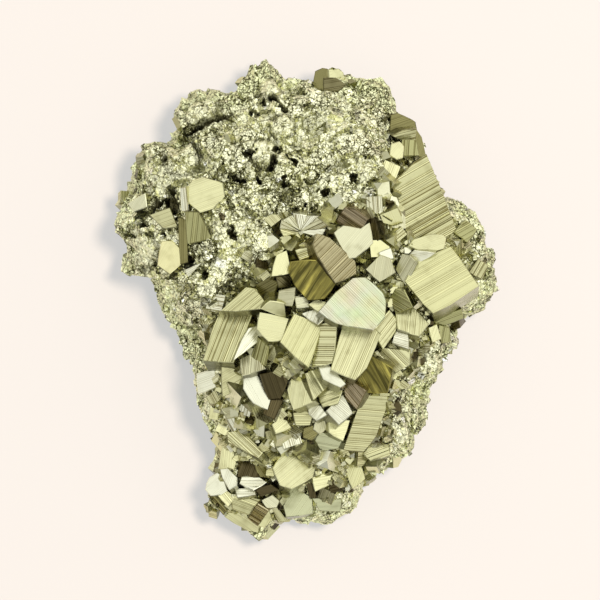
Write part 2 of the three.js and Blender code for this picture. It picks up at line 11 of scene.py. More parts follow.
import bpy
import numpy as np
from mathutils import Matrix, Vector


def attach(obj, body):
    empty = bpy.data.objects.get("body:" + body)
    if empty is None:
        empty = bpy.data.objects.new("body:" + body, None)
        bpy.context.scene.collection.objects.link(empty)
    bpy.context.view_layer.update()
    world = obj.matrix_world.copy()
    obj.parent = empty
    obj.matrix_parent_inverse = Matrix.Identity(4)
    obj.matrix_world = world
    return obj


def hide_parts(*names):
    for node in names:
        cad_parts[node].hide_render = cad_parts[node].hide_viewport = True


bl_info = {
    "name": "Pyrite Specimen",
    "version": (1, 0, 0),
    "blender": (4, 5, 0),
    "location": "View3D > Sidebar > Pyrite",
    "description": "Builds a granular pyrite lump crusted with striated crystals",
    "category": "Add Mesh",
}

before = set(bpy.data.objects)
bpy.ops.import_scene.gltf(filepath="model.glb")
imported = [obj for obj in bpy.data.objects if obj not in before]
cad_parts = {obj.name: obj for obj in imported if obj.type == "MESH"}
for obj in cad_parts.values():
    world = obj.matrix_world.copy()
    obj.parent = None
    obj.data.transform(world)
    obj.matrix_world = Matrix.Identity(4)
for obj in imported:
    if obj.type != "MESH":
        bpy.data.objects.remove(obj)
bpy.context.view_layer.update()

MM = 0.001
NODE = "pyrite_specimen"
# From the tables' origin to the middle of the specimen's box, in mm.
DATUM_SHIFT = np.array([0.09, 0.10, 0.0])

# Outline of the lump seen from above, counter-clockwise from the top peak.
OUTLINE = [
    (-6.6, 39.3), (-9.4, 37.8), (-12, 34.8), (-15.6, 33.7), (-18.4, 34), (-22, 31.9),
    (-22, 27.6), (-26.5, 26.3), (-28.8, 23.5), (-29.6, 18), (-31.6, 13), (-30.1, 8.2),
    (-31, 4.4), (-24.8, 4.2), (-22.9, -1.3), (-21, -6.4), (-19.2, -11), (-19, -17.1),
    (-16.2, -21.4), (-13.6, -25), (-14.8, -30), (-15.8, -33.2), (-13, -35), (-8.6, -38.9),
    (-5.4, -36.9), (-1.6, -36.3), (3, -37), (7.3, -35), (9.6, -31.5), (14, -29.1),
    (18.7, -26), (18.5, -20.8), (18.7, -15.5), (21.9, -12.4), (24.3, -7.3), (25.1, -2.6),
    (29.9, -0.8), (31.8, 3.4), (31.2, 8.7), (28.8, 14.2), (25.2, 17.2), (22.3, 17.9),
    (19.7, 22.6), (19.2, 27.8), (16.6, 30.2), (14.6, 32.6), (11.9, 34.9), (7.8, 35.7),
    (4.2, 37.4), (1.2, 36.8), (-1.4, 37.2), (-4.1, 37.1),
]

# Crystals big enough to be told apart. Each row has the corners of the face seen from above, x and y in
# turn, how far the face stands clear of the lump, its rise per mm towards +X and +Y, the depth of the prism,
# the direction of its striations in degrees from +X, how strong they are from 0 to 1.5, and its tint.
CRYSTALS = {
    "large_slab": (
        [14.6, 19.2, 20, 24, 25.4, 10.2, 17.8, 10, 16.2, 12.3],
        1.6, (-0.42, -0.16), 8, 30, 1.2, "olive_pale"),
    "large_cube": (
        [16.5, 3, 18.2, 5.9, 23.7, 8.5, 28.2, 2.3, 20.9, -2], 3.2, (0.05, -0.2), 9, 30, 0.42, "straw"),
    "cube_by_slab": (
        [17.2, 9, 18, 9.9, 20.5, 10.6, 22.3, 10.6, 22.9, 10.2, 22.5, 8.5, 20, 7.9],
        1.9, (-0.2, -0.3), 5, 20, 0.2, "pale"),
    "sliver_by_slab": ([17.2, 7.3, 18, 7.9, 21, 7.6, 18.5, 6.2], 2, (0.2, 0.3), 4, 10, 0.3, "white"),
    "upper_face": (
        [14.2, 28.2, 14.4, 30.8, 15.4, 31.1, 17.2, 30.2, 18, 29.8, 18.3, 28.5, 16.4, 28],
        1.2, (-0.1, -0.1), 5, 20, 0.4, "bronze"),
    "upper_ledge": (
        [14.6, 27.4, 16.2, 28, 18.2, 28.4, 18, 26.6, 16.2, 26.8], 1.4, (-0.3, 0.2), 4, 15, 0.9, "sage"),
    "upper_pale": (
        [14.1, 24.2, 14.3, 25.7, 15.4, 26.1, 16, 25.4, 15.9, 23.9, 15, 23.6],
        1.7, (-0.1, -0.2), 4, 50, 0.2, "pale"),
    "upper_stripes": (
        [16, 24.2, 16.2, 26.5, 18.1, 26.5, 18.6, 24.2], 1.4, (-0.2, -0.1), 4, 86, 1.0, "olive"),
    "upper_slope": (
        [18.2, 28.6, 18.4, 26.3, 18.9, 24.3, 20, 24, 19.3, 27], 0.8, (-0.5, -0.1), 4, 70, 0.3, "bronze"),
    "knob_left": (
        [1.3, 36.2, 1.6, 38.2, 2.6, 38.7, 3.3, 38.6, 3.2, 35.3, 2.2, 35.3],
        2.8, (0.2, -0.1), 5, 80, 0.2, "bronze"),
    "knob_top": (
        [3.2, 38.6, 5.3, 38.7, 5.9, 38.2, 6.2, 37.2, 4.6, 36.9, 3.3, 37.1],
        3.2, (-0.05, -0.05), 5, 20, 0.2, "pale"),
    "knob_foot": (
        [3.1, 35.3, 3.1, 37.1, 4.8, 37, 6.4, 36.1, 5.2, 35.2], 0.4, (-0.05, -0.05), 5, 10, 0.7, "dark"),
    "right_cube_a": ([15, 5, 15.9, 7.2, 17, 7, 18, 5.9, 16.4, 2.6], 1.1, (0.3, 0.1), 5, 60, 0.5, "grey"),
    "right_cube_b": (
        [10, 5, 12.2, 7.1, 13.6, 6.6, 14.4, 4.6, 12, 3.2], 1.5, (0.1, -0.25), 5, 80, 0.3, "grey"),
    "right_cube_c": ([12.2, 7.7, 13.8, 8.3, 14.2, 6.9, 12.8, 6.8], 1.2, (-0.2, -0.2), 3, 10, 0.2, "white"),
    "right_cube_d": (
        [14, 0.2, 14.8, 1.4, 16, 1.3, 17.3, -1.2, 14.8, -2.1], 1.1, (0.4, 0.3), 4, -30, 1.0, "olive"),
    "right_cube_e": (
        [15, -2.4, 17.5, -1.4, 20, -4, 18.5, -5.8, 15.3, -4.8], 2.1, (-0.15, -0.3), 5, 85, 0.5, "pale"),
    "right_cube_f": ([13.7, -2, 15.1, -4.2, 12.7, -8, 11.2, -5], 1.3, (-0.3, -0.1), 5, 52, 0.8, "pale"),
    "right_cube_g": ([14.8, -5.3, 16.6, -5.8, 16.7, -8, 14.4, -7], 2.3, (0.1, -0.35), 4, -15, 0.5, "white"),
    "right_cube_h": (
        [12.2, -9, 13, -8.2, 16.8, -8.7, 16.8, -10.6, 14.8, -11.9], 1.8, (0.25, 0.2), 4, -45, 0.7, "pale"),
    "right_cube_i": ([20.5, -4.9, 21.6, -4.4, 22.2, -6.4, 21, -6.9], 1.8, (-0.3, 0.1), 3, 70, 0.4, "pale"),
    "right_cube_j": ([22.2, -4.5, 23.7, -5, 24, -6.8, 22.6, -7.2], 0.9, (-0.4, 0.2), 3, 80, 0.8, "olive"),
    "right_bar": ([20.5, -3.6, 25.6, -1.8, 25.9, -3.2, 22, -4.6], 1.4, (-0.1, 0.5), 4, 20, 0.6, "olive"),
    "rim_cube_a": ([27.4, 4.6, 28.7, 6.4, 30.2, 5.6, 29.2, 3.6], 1, (-0.5, -0.1), 4, 60, 1.0, "sage"),
    "rim_cube_b": ([25, 11.2, 26.6, 13, 28.2, 11.6, 26.8, 9.8], 0.9, (-0.4, -0.2), 4, 30, 0.9, "olive"),
    "middle_brown": (
        [5.3, 13.2, 6.4, 14.9, 8, 14.6, 9.9, 13.2, 9, 11.7, 7.6, 11.6, 5.2, 12.8],
        1.4, (0.3, 0.35), 4, -35, 0.9, "brown"),
    "middle_pale": (
        [4.8, 10.9, 6.2, 12, 8.8, 11.5, 10.2, 12.5, 10.7, 9.4, 8.2, 7.3, 7, 7, 5.6, 9.3],
        2.4, (-0.1, -0.2), 6, 50, 0.15, "cream"),
    "middle_bar": ([10.4, 13, 11.2, 13.2, 12, 10.4, 11.3, 9.6], 1.4, (0.5, 0.1), 4, 80, 0.6, "umber"),
    "octagon_left": (
        [-2.5, 6, 2.2, 6.2, 4.6, 2.9, 2.8, 0.3, 0.2, 0.1, -1.6, 2.2, -2.6, 4.2],
        2.6, (0.26, 0.1), 7, 55, 0.3, "gold"),
    "octagon_right": (
        [1.8, 10.6, 3.9, 9.9, 7.8, 6.3, 8, 4.4, 4.7, 3, 2.2, 7, 1.3, 8.9],
        3.4, (-0.42, -0.2), 7, 45, 0.8, "beige"),
    "middle_blade": ([-4.8, 7.2, -3.4, 7.9, -2.8, 4.6, -5.6, 4.1], 1.6, (-0.2, -0.3), 4, 70, 0.2, "pale"),
    "middle_cube": ([-4.4, 1.3, -2, 1.8, -2.6, -0.9, -4.7, -0.6], 1.4, (0.25, 0.1), 4, 5, 0.4, "grey"),
    "middle_chip_a": ([0.6, -0.8, 1.6, -0.2, 3, -0.5, 2.2, -1.9], 1.4, (-0.2, -0.2), 3, 10, 0.3, "pale"),
    "middle_chip_b": ([-0.6, -2.4, 1.6, -1.8, 2.8, -3, 1.8, -3.9], 1.5, (0.1, -0.4), 3, 70, 0.8, "white"),
    "bright_face": (
        [2.2, -2, 7.7, 3.3, 9.6, 3.4, 12.2, 1.2, 12.8, -0.2, 12.7, -2.8, 10.8, -4.8, 5, -3.7],
        3, (-0.16, -0.22), 8, -45, 0.4, "iris"),
    "left_parallelogram": (
        [-14.2, -2, -8.9, -2, -12.2, -10.2, -17, -10], 2.6, (0.1, -0.3), 7, 69, 1.0, "olive_pale"),
    "left_roof": (
        [-14, -1.8, -10, 1.8, -8.8, 1.6, -7, -0.6, -8, -1.4], 1.9, (0.15, -0.3), 5, 40, 0.7, "olive_pale"),
    "left_cube": (
        [-7.6, -2.3, -3.2, -3.3, -4.3, -6.6, -6.3, -6.6, -8, -4.9], 2.6, (-0.1, -0.3), 6, -10, 0.2, "pale"),
    "left_cube_back": (
        [-7.3, -1.6, -5.9, -0.5, -3.9, -0.8, -3.6, -2.9], 2, (-0.1, 0.6), 5, -15, 0.3, "pale"),
    "left_wedge": ([-9.6, -5, -8.2, -4.6, -8.4, -7, -12, -9.9], 2.7, (-0.3, -0.2), 4, 50, 0.4, "white"),
    "left_olive": ([-8, -6.6, -6.5, -8, -6.9, -10.9, -9, -9.3], 1.7, (0.3, 0.2), 4, 75, 0.9, "olive"),
    "left_grey": ([-10.9, -10, -9.1, -9.2, -7, -11.4, -10.5, -12.4], 2.2, (0.1, -0.3), 4, 85, 0.6, "grey"),
    "left_white": (
        [-10.2, -12.7, -8.2, -12.3, -6.2, -16.3, -6.6, -18.1, -8.8, -16.9, -10.2, -14.9],
        2.1, (-0.2, -0.2), 5, -60, 0.15, "white"),
    "left_brown": (
        [-7.6, -12.6, -4.6, -12.2, -3.5, -13.7, -4.5, -16.2, -6.2, -16.4],
        1.7, (0.3, 0.3), 5, -70, 0.4, "umber"),
    "left_olive_low": (
        [-6.4, -16.5, -4, -16.7, -5.4, -19.6, -7, -18.8], 2.3, (0.1, -0.2), 4, 70, 0.6, "umber"),
    "left_round": ([-14, -11.3, -11.2, -12, -11, -14.3, -13.8, -16], 0.9, (-0.1, 0.1), 4, 30, 0.4, "sage"),
    "left_rough": (
        [-18.2, -12.6, -15.5, -12, -15.4, -14.5, -18, -15.6], 0.9, (0.35, 0.1), 4, 20, 0.3, "white"),
    "left_red": (
        [-13.8, -19, -12.6, -18.7, -11.2, -21.2, -12.4, -22], 2.1, (0.3, 0.2), 4, -60, 0.9, "white"),
    "low_square": ([-2, -2.6, 2.3, -4.5, 0.3, -11, -4.1, -7], 2.7, (-0.12, -0.24), 7, 63, 0.45, "straw"),
    "low_bands": ([2.3, -4.4, 3.6, -4, 4.8, -4.6, 4.1, -10.2, 1, -11], 2.2, (0.3, -0.1), 6, 0, 0.9, "pale"),
    "low_striped": (
        [6.3, -3.7, 11, -4.9, 12, -5.9, 9.8, -11, 8, -13, 4.2, -11.4],
        2.9, (-0.06, -0.22), 8, 67, 0.5, "pale"),
    "low_gold": (
        [10.6, -9.5, 14, -11.6, 13.2, -15.4, 10, -15.2, 8, -13.4], 1.8, (0.2, 0.3), 6, -60, 0.5, "gold"),
    "low_tall": (
        [9.9, -15.4, 13.8, -15.9, 11.5, -22.5, 9.5, -25.2, 6.3, -24.8],
        2.4, (-0.3, 0.05), 7, -5, 0.65, "sage"),
    "low_crescent": (
        [2.1, -11, 2.9, -10.2, 6.2, -13.8, 5.4, -14.3, 3, -13], 3.6, (-0.1, -0.3), 4, -45, 0.05, "white"),
    "low_pair_left": (
        [-2.4, -13, -0.1, -12.4, 1.2, -16.7, -2.2, -18, -3, -15], 2.2, (0.3, -0.2), 5, 80, 0.4, "pale"),
    "low_pair_right": (
        [0, -12.4, 2, -11.6, 3.2, -14.4, 1.2, -16.4], 2.3, (-0.5, -0.2), 5, -60, 0.4, "pale"),
    "low_framed": (
        [2.1, -15.9, 3, -14.9, 5.8, -14.7, 4.9, -17, 2.8, -17.6], 1.9, (0.1, -0.3), 4, 20, 0.5, "sage"),
    "low_white": ([6, -16.1, 7.4, -18.8, 5.4, -20.5, 3.6, -18.4], 3.5, (-0.2, -0.3), 5, -40, 0.4, "white"),
    "low_brown": (
        [6.3, -14, 7.6, -13.9, 9.6, -15.1, 8.2, -18, 6.6, -16.2], 1.9, (0.35, 0.1), 4, -50, 1.0, "brown"),
    "low_pale": ([4, -20.2, 7, -20.3, 6, -23.3, 4, -22], 2.7, (-0.3, -0.1), 4, 10, 0.2, "pale"),
    "low_green": (
        [1.5, -23.7, 2.5, -22.3, 5.8, -23.3, 6.2, -24.6, 2.2, -25.2],
        1.3, (0.1, 0.3), 4, -10, 0.3, "green"),
    "low_chip_a": ([-5.5, -20.8, -4, -19.4, -2.8, -21.3, -5, -22.1], 1.2, (-0.2, -0.2), 3, 40, 0.3, "pale"),
    "low_chip_b": (
        [-2, -19, 0.9, -18.6, 0.4, -20.8, -1.6, -20.8], 1.2, (-0.2, 0.2), 3, 0, 0.5, "olive_pale"),
    "low_chip_c": (
        [9.8, -25.8, 11.3, -24.1, 13.5, -24.5, 13.8, -26, 11, -26.8],
        1.2, (-0.2, -0.3), 4, 20, 0.8, "sage"),
    "low_chip_d": (
        [6.6, -28.4, 9, -27.4, 9.6, -30, 7.8, -31.5], 1.9, (-0.3, -0.1), 4, 70, 0.4, "olive_pale"),
    "tail_block": (
        [-13, -22.3, -10.6, -22.3, -7.6, -25.4, -8.3, -26.2, -12.9, -23.8],
        2.1, (0.2, -0.3), 5, -42, 0.9, "pale"),
    "tail_post": (
        [-14, -24.6, -13.3, -24.3, -12, -25.6, -12.3, -28.5, -14.7, -28.2],
        1.3, (0.3, -0.1), 4, 85, 0.3, "pale"),
    "tail_pale": (
        [-5.4, -28.2, -4.2, -26.5, -1.3, -25.8, 1.2, -28.4, 0.8, -29.6, -2.5, -31.4, -4.3, -30.8],
        2.4, (-0.12, -0.22), 7, 40, 0.35, "pale"),
    "tail_cube_a": (
        [-11, -30.8, -10.6, -29.8, -8.5, -29.8, -7, -30.6, -9, -31.7],
        1.5, (0.1, -0.4), 4, 0, 0.6, "white"),
    "tail_cube_b": (
        [-16.8, -31.9, -16.2, -30.2, -15, -29.4, -14.3, -30, -13.6, -32, -14.6, -32.6, -16, -32.8],
        1.8, (0.25, -0.1), 4, 40, 0.2, "white"),
    "tail_cube_c": (
        [-14.3, -28.7, -13.2, -28.6, -12, -29.8, -11.9, -31, -13, -31.6, -13.9, -29.9],
        2, (0.2, -0.3), 4, 70, 0.3, "white"),
    "tail_barred": (
        [-16.4, -33.3, -15.2, -32.9, -13.1, -34.9, -14.2, -36.1], 2.6, (0.2, 0.1), 4, -48, 1.2, "bronze"),
    "tail_bright": (
        [-14.8, -32.9, -13.4, -32.4, -12.3, -33.2, -13.2, -34.6], 2.3, (0.1, -0.1), 4, -50, 0.6, "pale"),
    "tail_olive": (
        [-12.4, -33.8, -11.6, -33, -8, -33.7, -9.3, -36.3, -12.2, -35.2],
        1.6, (0.1, 0.2), 5, -20, 0.9, "olive_pale"),
    "tail_red": ([-8, -34.3, -6.5, -35.4, -8.2, -37.8, -9.6, -36.7], 2, (-0.1, 0.2), 4, -32, 1.5, "beige"),
    "tail_toe": (
        [-12.6, -35.7, -10.2, -36.4, -8, -38.2, -8.4, -39.3, -10, -38.8, -13.6, -36.8],
        1.6, (0.05, 0.15), 4, -35, 0.4, "sage"),
    "tail_column": ([-6, -34.9, -5.1, -35, -3.4, -37.2, -4.8, -37.4], 1, (-0.2, 0.2), 4, -58, 0.9, "sage"),
    "tail_wedge": (
        [-6.4, -35.8, -6, -37.2, -7, -38.2, -7.9, -38], 1.4, (-0.1, 0.2), 4, 60, 0.5, "olive_pale"),
    "tail_brown": (
        [-8.4, -31.9, -6.3, -31.3, -5, -31.9, -7.5, -32.9], 1.7, (0.2, 0.3), 3, 10, 0.4, "umber"),
    "tail_chip_a": (
        [-7.3, -33.8, -5.8, -33.1, -4.8, -33.9, -5.2, -34.8, -6.6, -34.9],
        1.4, (-0.2, 0.1), 3, -40, 0.3, "cream"),
    "tail_chip_b": ([1.2, -30, 4.2, -29, 3.6, -31, 1.6, -32], 1.2, (-0.2, -0.1), 4, 10, 0.3, "pale"),
    "tail_chip_c": ([1.2, -33.6, 5.6, -33.8, 5.4, -35.6, 2.4, -35.4], 0.9, (-0.1, 0.3), 4, 0, 0.2, "green"),
    "shoulder_plate": (
        [-19.6, 18, -18.9, 19.6, -17, 20, -14.2, 19.2, -13.9, 17.2, -15.6, 15.4, -17.7, 14.7, -19.5, 16.3],
        0.8, (0.12, -0.2), 5, 20, 0.3, "pale"),
    "shoulder_olive": ([-20, 14.3, -18, 14.2, -16, 10.4, -19.7, 9.4], 1.3, (0.2, 0.1), 5, 84, 0.7, "olive"),
    "shoulder_yellow": (
        [-24, 9.5, -22.5, 9.5, -21.2, 8.2, -21.2, 6, -22.8, 4.5, -24.6, 5.8],
        1.2, (0.2, -0.2), 5, 60, 0.1, "butter"),
    "shoulder_chip_a": (
        [-25.8, 14, -22.9, 15, -21.7, 12.2, -23.8, 12.1], 1.2, (0.1, -0.2), 4, 20, 0.6, "sage"),
    "shoulder_chip_b": (
        [-29.7, 16, -27.2, 17.5, -27, 15.6, -28.8, 14.9], 1.2, (0.5, -0.1), 3, 60, 0.2, "cream"),
    "fan_a": ([-1.3, 11.3, -4.1, 11.8, -3.9, 12.9], 1.5, (-0.25, 0.1), 3, 155, 0.9, "grey"),
    "fan_b": ([-1.3, 11.6, -3.7, 13, -2.3, 13.6], 1.5, (-0.15, 0.2), 3, 130, 0.8, "cream"),
    "fan_c": ([-1.1, 11.6, -2.1, 14, -0.2, 13.7], 1.7, (0.05, 0.3), 3, 100, 1.0, "white"),
    "fan_d": ([-0.9, 11.5, 0.1, 13.5, 1.7, 13.6], 1.8, (0.2, 0.2), 3, 55, 0.9, "white"),
    "fan_e": ([-0.8, 11.4, 1.7, 13.3, 3.2, 12.1, 2.2, 11.7], 1.7, (0.25, 0.1), 3, 25, 1.0, "grey"),
    "fan_f": ([-0.9, 11.2, 2.8, 11.6, 2.2, 10.4], 1.6, (0.25, 0), 3, -8, 0.5, "white"),
    "fan_g": ([-1.5, 11.1, -4.2, 11.6, -3.6, 10.6], 1.3, (-0.25, 0), 3, 165, 0.8, "olive_pale"),
    "cavity_a": (
        [-8.3, 2.3, -6.4, 3.3, -5, 2.6, -5.6, 0.9, -7.4, 0.5], 0.2, (0.5, 0.3), 4, 30, 0.6, "bronze"),
    "cavity_c": (
        [-11.2, -26.7, -9, -27.3, -8.2, -29.6, -11.4, -29.7], -0.3, (0.3, -0.3), 3, 70, 0.8, "umber"),
    "cavity_d": ([-8.6, -27.6, -6.9, -28, -6, -29.8, -7.8, -29.6], 0, (-0.3, 0.2), 3, -60, 0.8, "bronze"),
    "cavity_b": ([-4.8, 3.8, -3, 3.7, -2.7, 2.3, -4.4, 2.1], 0.4, (-0.4, 0.3), 3, -40, 0.8, "dark"),
    "white_chip": ([-1.8, 0.4, 0, 0.2, 0.2, -1.1, -1.5, -1.2], 1, (0.1, -0.3), 3, 10, 0.3, "cream"),
    "rim_dark": ([23.9, -3.6, 25.4, -3.1, 25.7, -4.6, 24.4, -5.2], 0.6, (0.3, 0.3), 3, 40, 0.7, "umber"),
    "low_grey_a": (
        [-0.3, -21.6, 0.9, -21.2, 1.6, -22.2, 0.8, -23.2, -0.4, -22.9],
        1.6, (0.1, -0.2), 3, 30, 0.5, "bronze"),
    "low_grey_b": (
        [1.7, -20.6, 2.9, -20.4, 3.2, -21.5, 2.2, -22.2, 1.4, -21.6], 1.2, (-0.2, 0.1), 3, 80, 0.4, "grey"),
    "low_pale_b": (
        [0.4, -17.3, 2.2, -17.9, 3.1, -19.1, 1.6, -19.9, 0.6, -18.9],
        2.2, (0.1, -0.2), 3, 50, 0.4, "white"),
    "tail_bar": ([-11.8, -31.9, -9, -31.8, -8.8, -32.7, -11.4, -33.1], 2, (0.1, -0.3), 3, 0, 0.6, "white"),
    "tail_rough": (
        [-4, -33, -2.3, -31.7, 0.7, -33.5, 0.8, -35.8, -3.3, -36.4], 1, (0.05, -0.15), 4, 55, 0.2, "green"),
    "tail_dark": ([0, -30.9, 1.1, -31.1, 1.4, -33.2, 0.5, -33.1], 0.9, (0.3, 0.2), 3, 80, 0.4, "umber"),
    "shoulder_strip": (
        [-20.9, 18.2, -20.1, 18.4, -19.8, 15, -20.7, 14.9], 1.9, (0.4, 0.1), 3, 95, 0.7, "white"),
    "shoulder_post": (
        [-21.3, 13.3, -20.1, 13, -19.8, 6.5, -21, 6.2], 1.2, (0.2, -0.1), 3, 90, 0.5, "bronze"),
    "shoulder_blade": ([-20, 4.9, -17.7, 5.9, -19.6, 3.9], 1.6, (0.1, 0.3), 3, 30, 0.5, "white"),
    "patch_left": ([-1.6, 8, 0.6, 8.4, 1.2, 7, -1, 6.6], 1.8, (-0.1, 0.3), 3, 20, 0.7, "pale"),
}

# Colours of the crystal faces. Besides the brass colour, each tint paints in how bright that face's
# reflection looks: the pale tints a bright reflection, the dark ones painted shade.
TINTS = {
    "pale": (0.575, 0.565, 0.32),
    "white": (0.66, 0.66, 0.5),
    "cream": (0.55, 0.545, 0.36),
    "olive_pale": (0.52, 0.51, 0.275),
    "sage": (0.44, 0.43, 0.235),
    "olive": (0.33, 0.325, 0.15),
    "gold": (0.24, 0.22, 0.065),
    "beige": (0.38, 0.34, 0.19),
    "bronze": (0.2, 0.185, 0.075),
    "butter": (0.66, 0.63, 0.34),
    "brown": (0.27, 0.225, 0.14),
    "dark": (0.16, 0.145, 0.07),
    "umber": (0.085, 0.07, 0.032),
    "grey": (0.47, 0.46, 0.29),
    "green": (0.4, 0.41, 0.245),
    "straw": (0.55, 0.54, 0.285),
    "iris": (0.53, 0.545, 0.375),
}

# Open cracks and pits as seen from above: the points along each crack, and x, y and radius of each pit.
CRACKS = [
    [(-20.9, 27.8), (-18.2, 28.8), (-16, 30), (-14.4, 30.9), (-12.9, 31.5)],
    [(-5.9, 33.8), (-4.8, 32.6), (-3.5, 31.8)],
    [(-9.3, 37.2), (-8.7, 36.2)],
    [(-6.1, 21.8), (-5.4, 23.6)],
    [(4.5, -30), (5.8, -28.9), (7.2, -27.6)],
    [(9.6, -25.6), (11.2, -23.6)],
    [(3, 0.2), (5.5, 1.8), (8, 4.2)],
    [(16.8, 21), (17.6, 22.6), (18.5, 24.2)],
]
PITS = [
    (-13.2, 33, 0.9), (-8.7, 31.1, 0.5), (-7.3, 32.5, 0.5), (-5, 25.4, 0.5), (-9.4, 24.3, 0.6),
    (-2.4, 23.3, 0.5), (-22.6, 16.2, 1.7), (-25.4, 15.9, 1.2), (-23.9, 11, 0.7), (-11.5, 20.2, 0.7),
    (-8.2, 20, 0.7), (-3.6, 19.8, 0.6), (-1.4, 15, 0.7), (3, 17.7, 0.6), (8, 20, 0.6),
    (-12.3, 11.3, 0.8), (-17, 4.2, 0.7), (-19.5, 6.5, 0.7), (-27.5, 12.5, 0.7), (-9.8, -28.4, 1.6),
    (2.6, -26, 1.2), (5.6, 1.4, 1.6), (-5, 1.6, 1.5), (17.6, 22.4, 1.2), (-12, -21.5, 0.7),
]

# Rounded lumps of the granular part: x, y, radius and how far each stands out.
NODULES = [
    (-7, 24.3, 2.4, 1.5), (-9.2, 21, 1.3, 1), (-4, 28.8, 2.1, 1), (-18, 31.8, 3, 1.3), (-6.2, 36.6, 3, 1),
    (-27.6, 8, 3, 1.2), (-21, 23.5, 3, 0.7), (26, 12.6, 3, 0.7),
]

# Edge of the crust of crystals, as seen from above.
CRUST = [
    (-17, -11), (-16, -1.5), (-9, 3), (-6, 8), (-5, 12.5), (2, 14.5), (9, 15.5), (13, 19), (13.5, 25),
    (16, 27), (19, 23), (25, 12), (27.2, 6), (26.6, 0), (23.5, -6), (19, -9), (15.5, -13), (14, -19),
    (12.5, -26), (8, -31), (3, -33), (-5, -37), (-10, -38.5), (-16, -35), (-16.5, -30), (-14, -24),
    (-15, -18),
]

# The plain rounded lump: how square its profile is, where it is widest and how that line swings, how wide
# its flat cut is, and the swells and slopes of its top. Lengths are in mm, the rest are shares.
RIM_POWER = 2.7
WIDEST_SHARE = 0.42
WIDEST_SWING = 0.08
LOBES = 3
LOBE_TURN = 1
CUT_SHARE = 0.8
EVENING_SHARE = 5 / 72
RIDGE_CENTRE, RIDGE_SPREAD = (8, 2), 13.0
SHOULDER_CENTRE, SHOULDER_SPREAD = (-15, 16), 10.0
TAIL_START, TAIL_END = 10, 36
KNOB_SPACING = 9.0
NODULE_SPACING = 3.8
CRUST_EDGE = (-0.8, 1.2)
LOWEST_ABOVE_CUT = 0.5
LOWEST_BROKEN = 0.35
SHORTEST_REACH = 0.001

# Fineness of the granular mesh, and the reach and rise over which its top rings are spread evenly.
RIM_STEPS = 720
RIM_COUNT = 480
SIDE_RINGS = 36
TOP_RINGS = 150
TOP_REACH, TOP_RISE = 36, 15
TOP_STEPS = 2000

# What gives each corner of a lattice a value that looks random and is the same on every run.
LATTICE_TURN = (127.1, 311.7, 74.7)
LATTICE_SCALE = 43758.5453

# Broken facets: the turns that give each cell its centre, tilt and level, how far these stray, and the
# width and height of each size with its place in the lattice.
CENTRE_TURNS = (1.1, 2.3, 3.7)
TILT_TURNS = (4.9, 5.3, 6.1)
LEVEL_TURN = 7.7
CENTRE_STRAY = 0.45
LEVEL_STRAY = 0.35
BROKEN_SIZES = ((2.8, 0.4, 0), (1.3, 0.3, 40))
RAGGED_OFFSET = 80
RAGGED_LINE_OFFSET = 120

# Cracks and pits: how ragged their edges are, how wide a crack's edge is, how much longer than wide a pit
# is and how each is turned on from the last, and how far they and the crust go in.
RAGGED = 0.6
RAGGED_SPACING = 1.4
RAGGED_LINE = 0.12
RAGGED_LINE_SPACING = 0.7
CRACK_EDGE = (0.12, 0.6)
PIT_LENGTH, PIT_WIDTH = 1.4, 0.7
PIT_EDGE = 0.6
GOLDEN_TURN = 2.4
OPEN_DEPTH = 1.4
CRUST_SINK = 0.3

# Ranges of the upward slope over which the surface counts as top and stops counting as side.
TOP_SLOPES = (0.35, 0.75)
SIDE_SLOPES = (0.3, 0.8)

# Nodules: how ragged and how round they are, the line of painted shade round each, and how calm their
# surface is.
NODULE_RAGGED = 0.15
NODULE_ROUNDING = 0.7
NODULE_RIM, RIM_EDGE, RIM_DARKNESS = 1.02, (0.03, 0.2), 0.5
CALM_EDGE = (0.7, 1.1)
CALMING = 0.4

# Room that the granular mass leaves under the crystals.
CROWDED_REACH = 1.5
CROWDED_HEIGHT = 9
FACE_MARGIN = 0.2
FACE_GAP = 0.45

# Shape of a crystal: how wide its worn rim is, how far the rim goes in and down, how far the crystal
# overlaps its neighbours, how its prism narrows and how its edges bulge.
CRYSTAL_SEED = 11
BEVEL = 0.13
DEEPEST_INSET = 0.7
RIM_DROP = 0.8
OVERLAP = 0.32
TAPER = 0.96
BULGE_PLACES = (0.3, 0.7)
BULGE_SIZES = (0.005, 0.04)
SAME_PLACE = 1e-3

# Striations: the steps between them, and how much wider apart and lower they are on a plain face.
LINE_STEPS = [0.45, 0.7, 1.0, 1.0, 1.6, 2.4]
STEP_CHANGE = (0.8, 1.2)
PLAIN_SPACING = 2.6
PLAIN_HEIGHT = 0.25

# Tones: chance from crystal to crystal, wider on small ones, and the walls and rims against the face. Walls
# get painted light and shade, lighter where they face the lit side and darker away from it; rims get random
# painted highlights and shade.
FACE_TONES = (0.96, 1.04)
SMALL_DEPTH = 5
SMALL_GAIN = 0.16
LIT_SIDE = np.array([0.8, 0.6])
WALL_TONE, WALL_LIGHT_SWING = 0.8, 0.3
WALL_CHANGE = (0.75, 1.2)
EDGE_LIGHT_AND_SHADE = [0.6, 0.85, 1.15, 1.25]
BRIGHTEST_EDGE = 0.95
PATTERN_SHIFT = 50

# Finishes: cells and ruled lines to the millimetre, and what the base colours are multiplied by.
COARSE_CELLS = 0.8
FINE_CELLS = 2.0
LINES_PER_MM = (1.15, 3.1)
LINE_DEPTH = 0.0001
HALF = (0.5, 0.5, 0.5)
# Painted shade: the lump's steep sides are multiplied by this, darker and duller.
SIDE_SHADE = (0.88, 0.905, 0.79)
GRAIN_TINT = (1.6, 1.62, 2.75)
# Painted shade in the striation grooves.
GROOVE_SHADE = (0.33, 0.29, 0.18)
# Painted reflections on gold faces: shadow, glow and spark.
GLINT_TINTS = ((0.35, 0.34, 0.32), (1.2, 1.15, 1.0), (2.2, 2.1, 1.7))
FILM_SWING = (0.4, 0.4, 0.55)
FILM_TINT = (0.83, 0.82, 0.72)
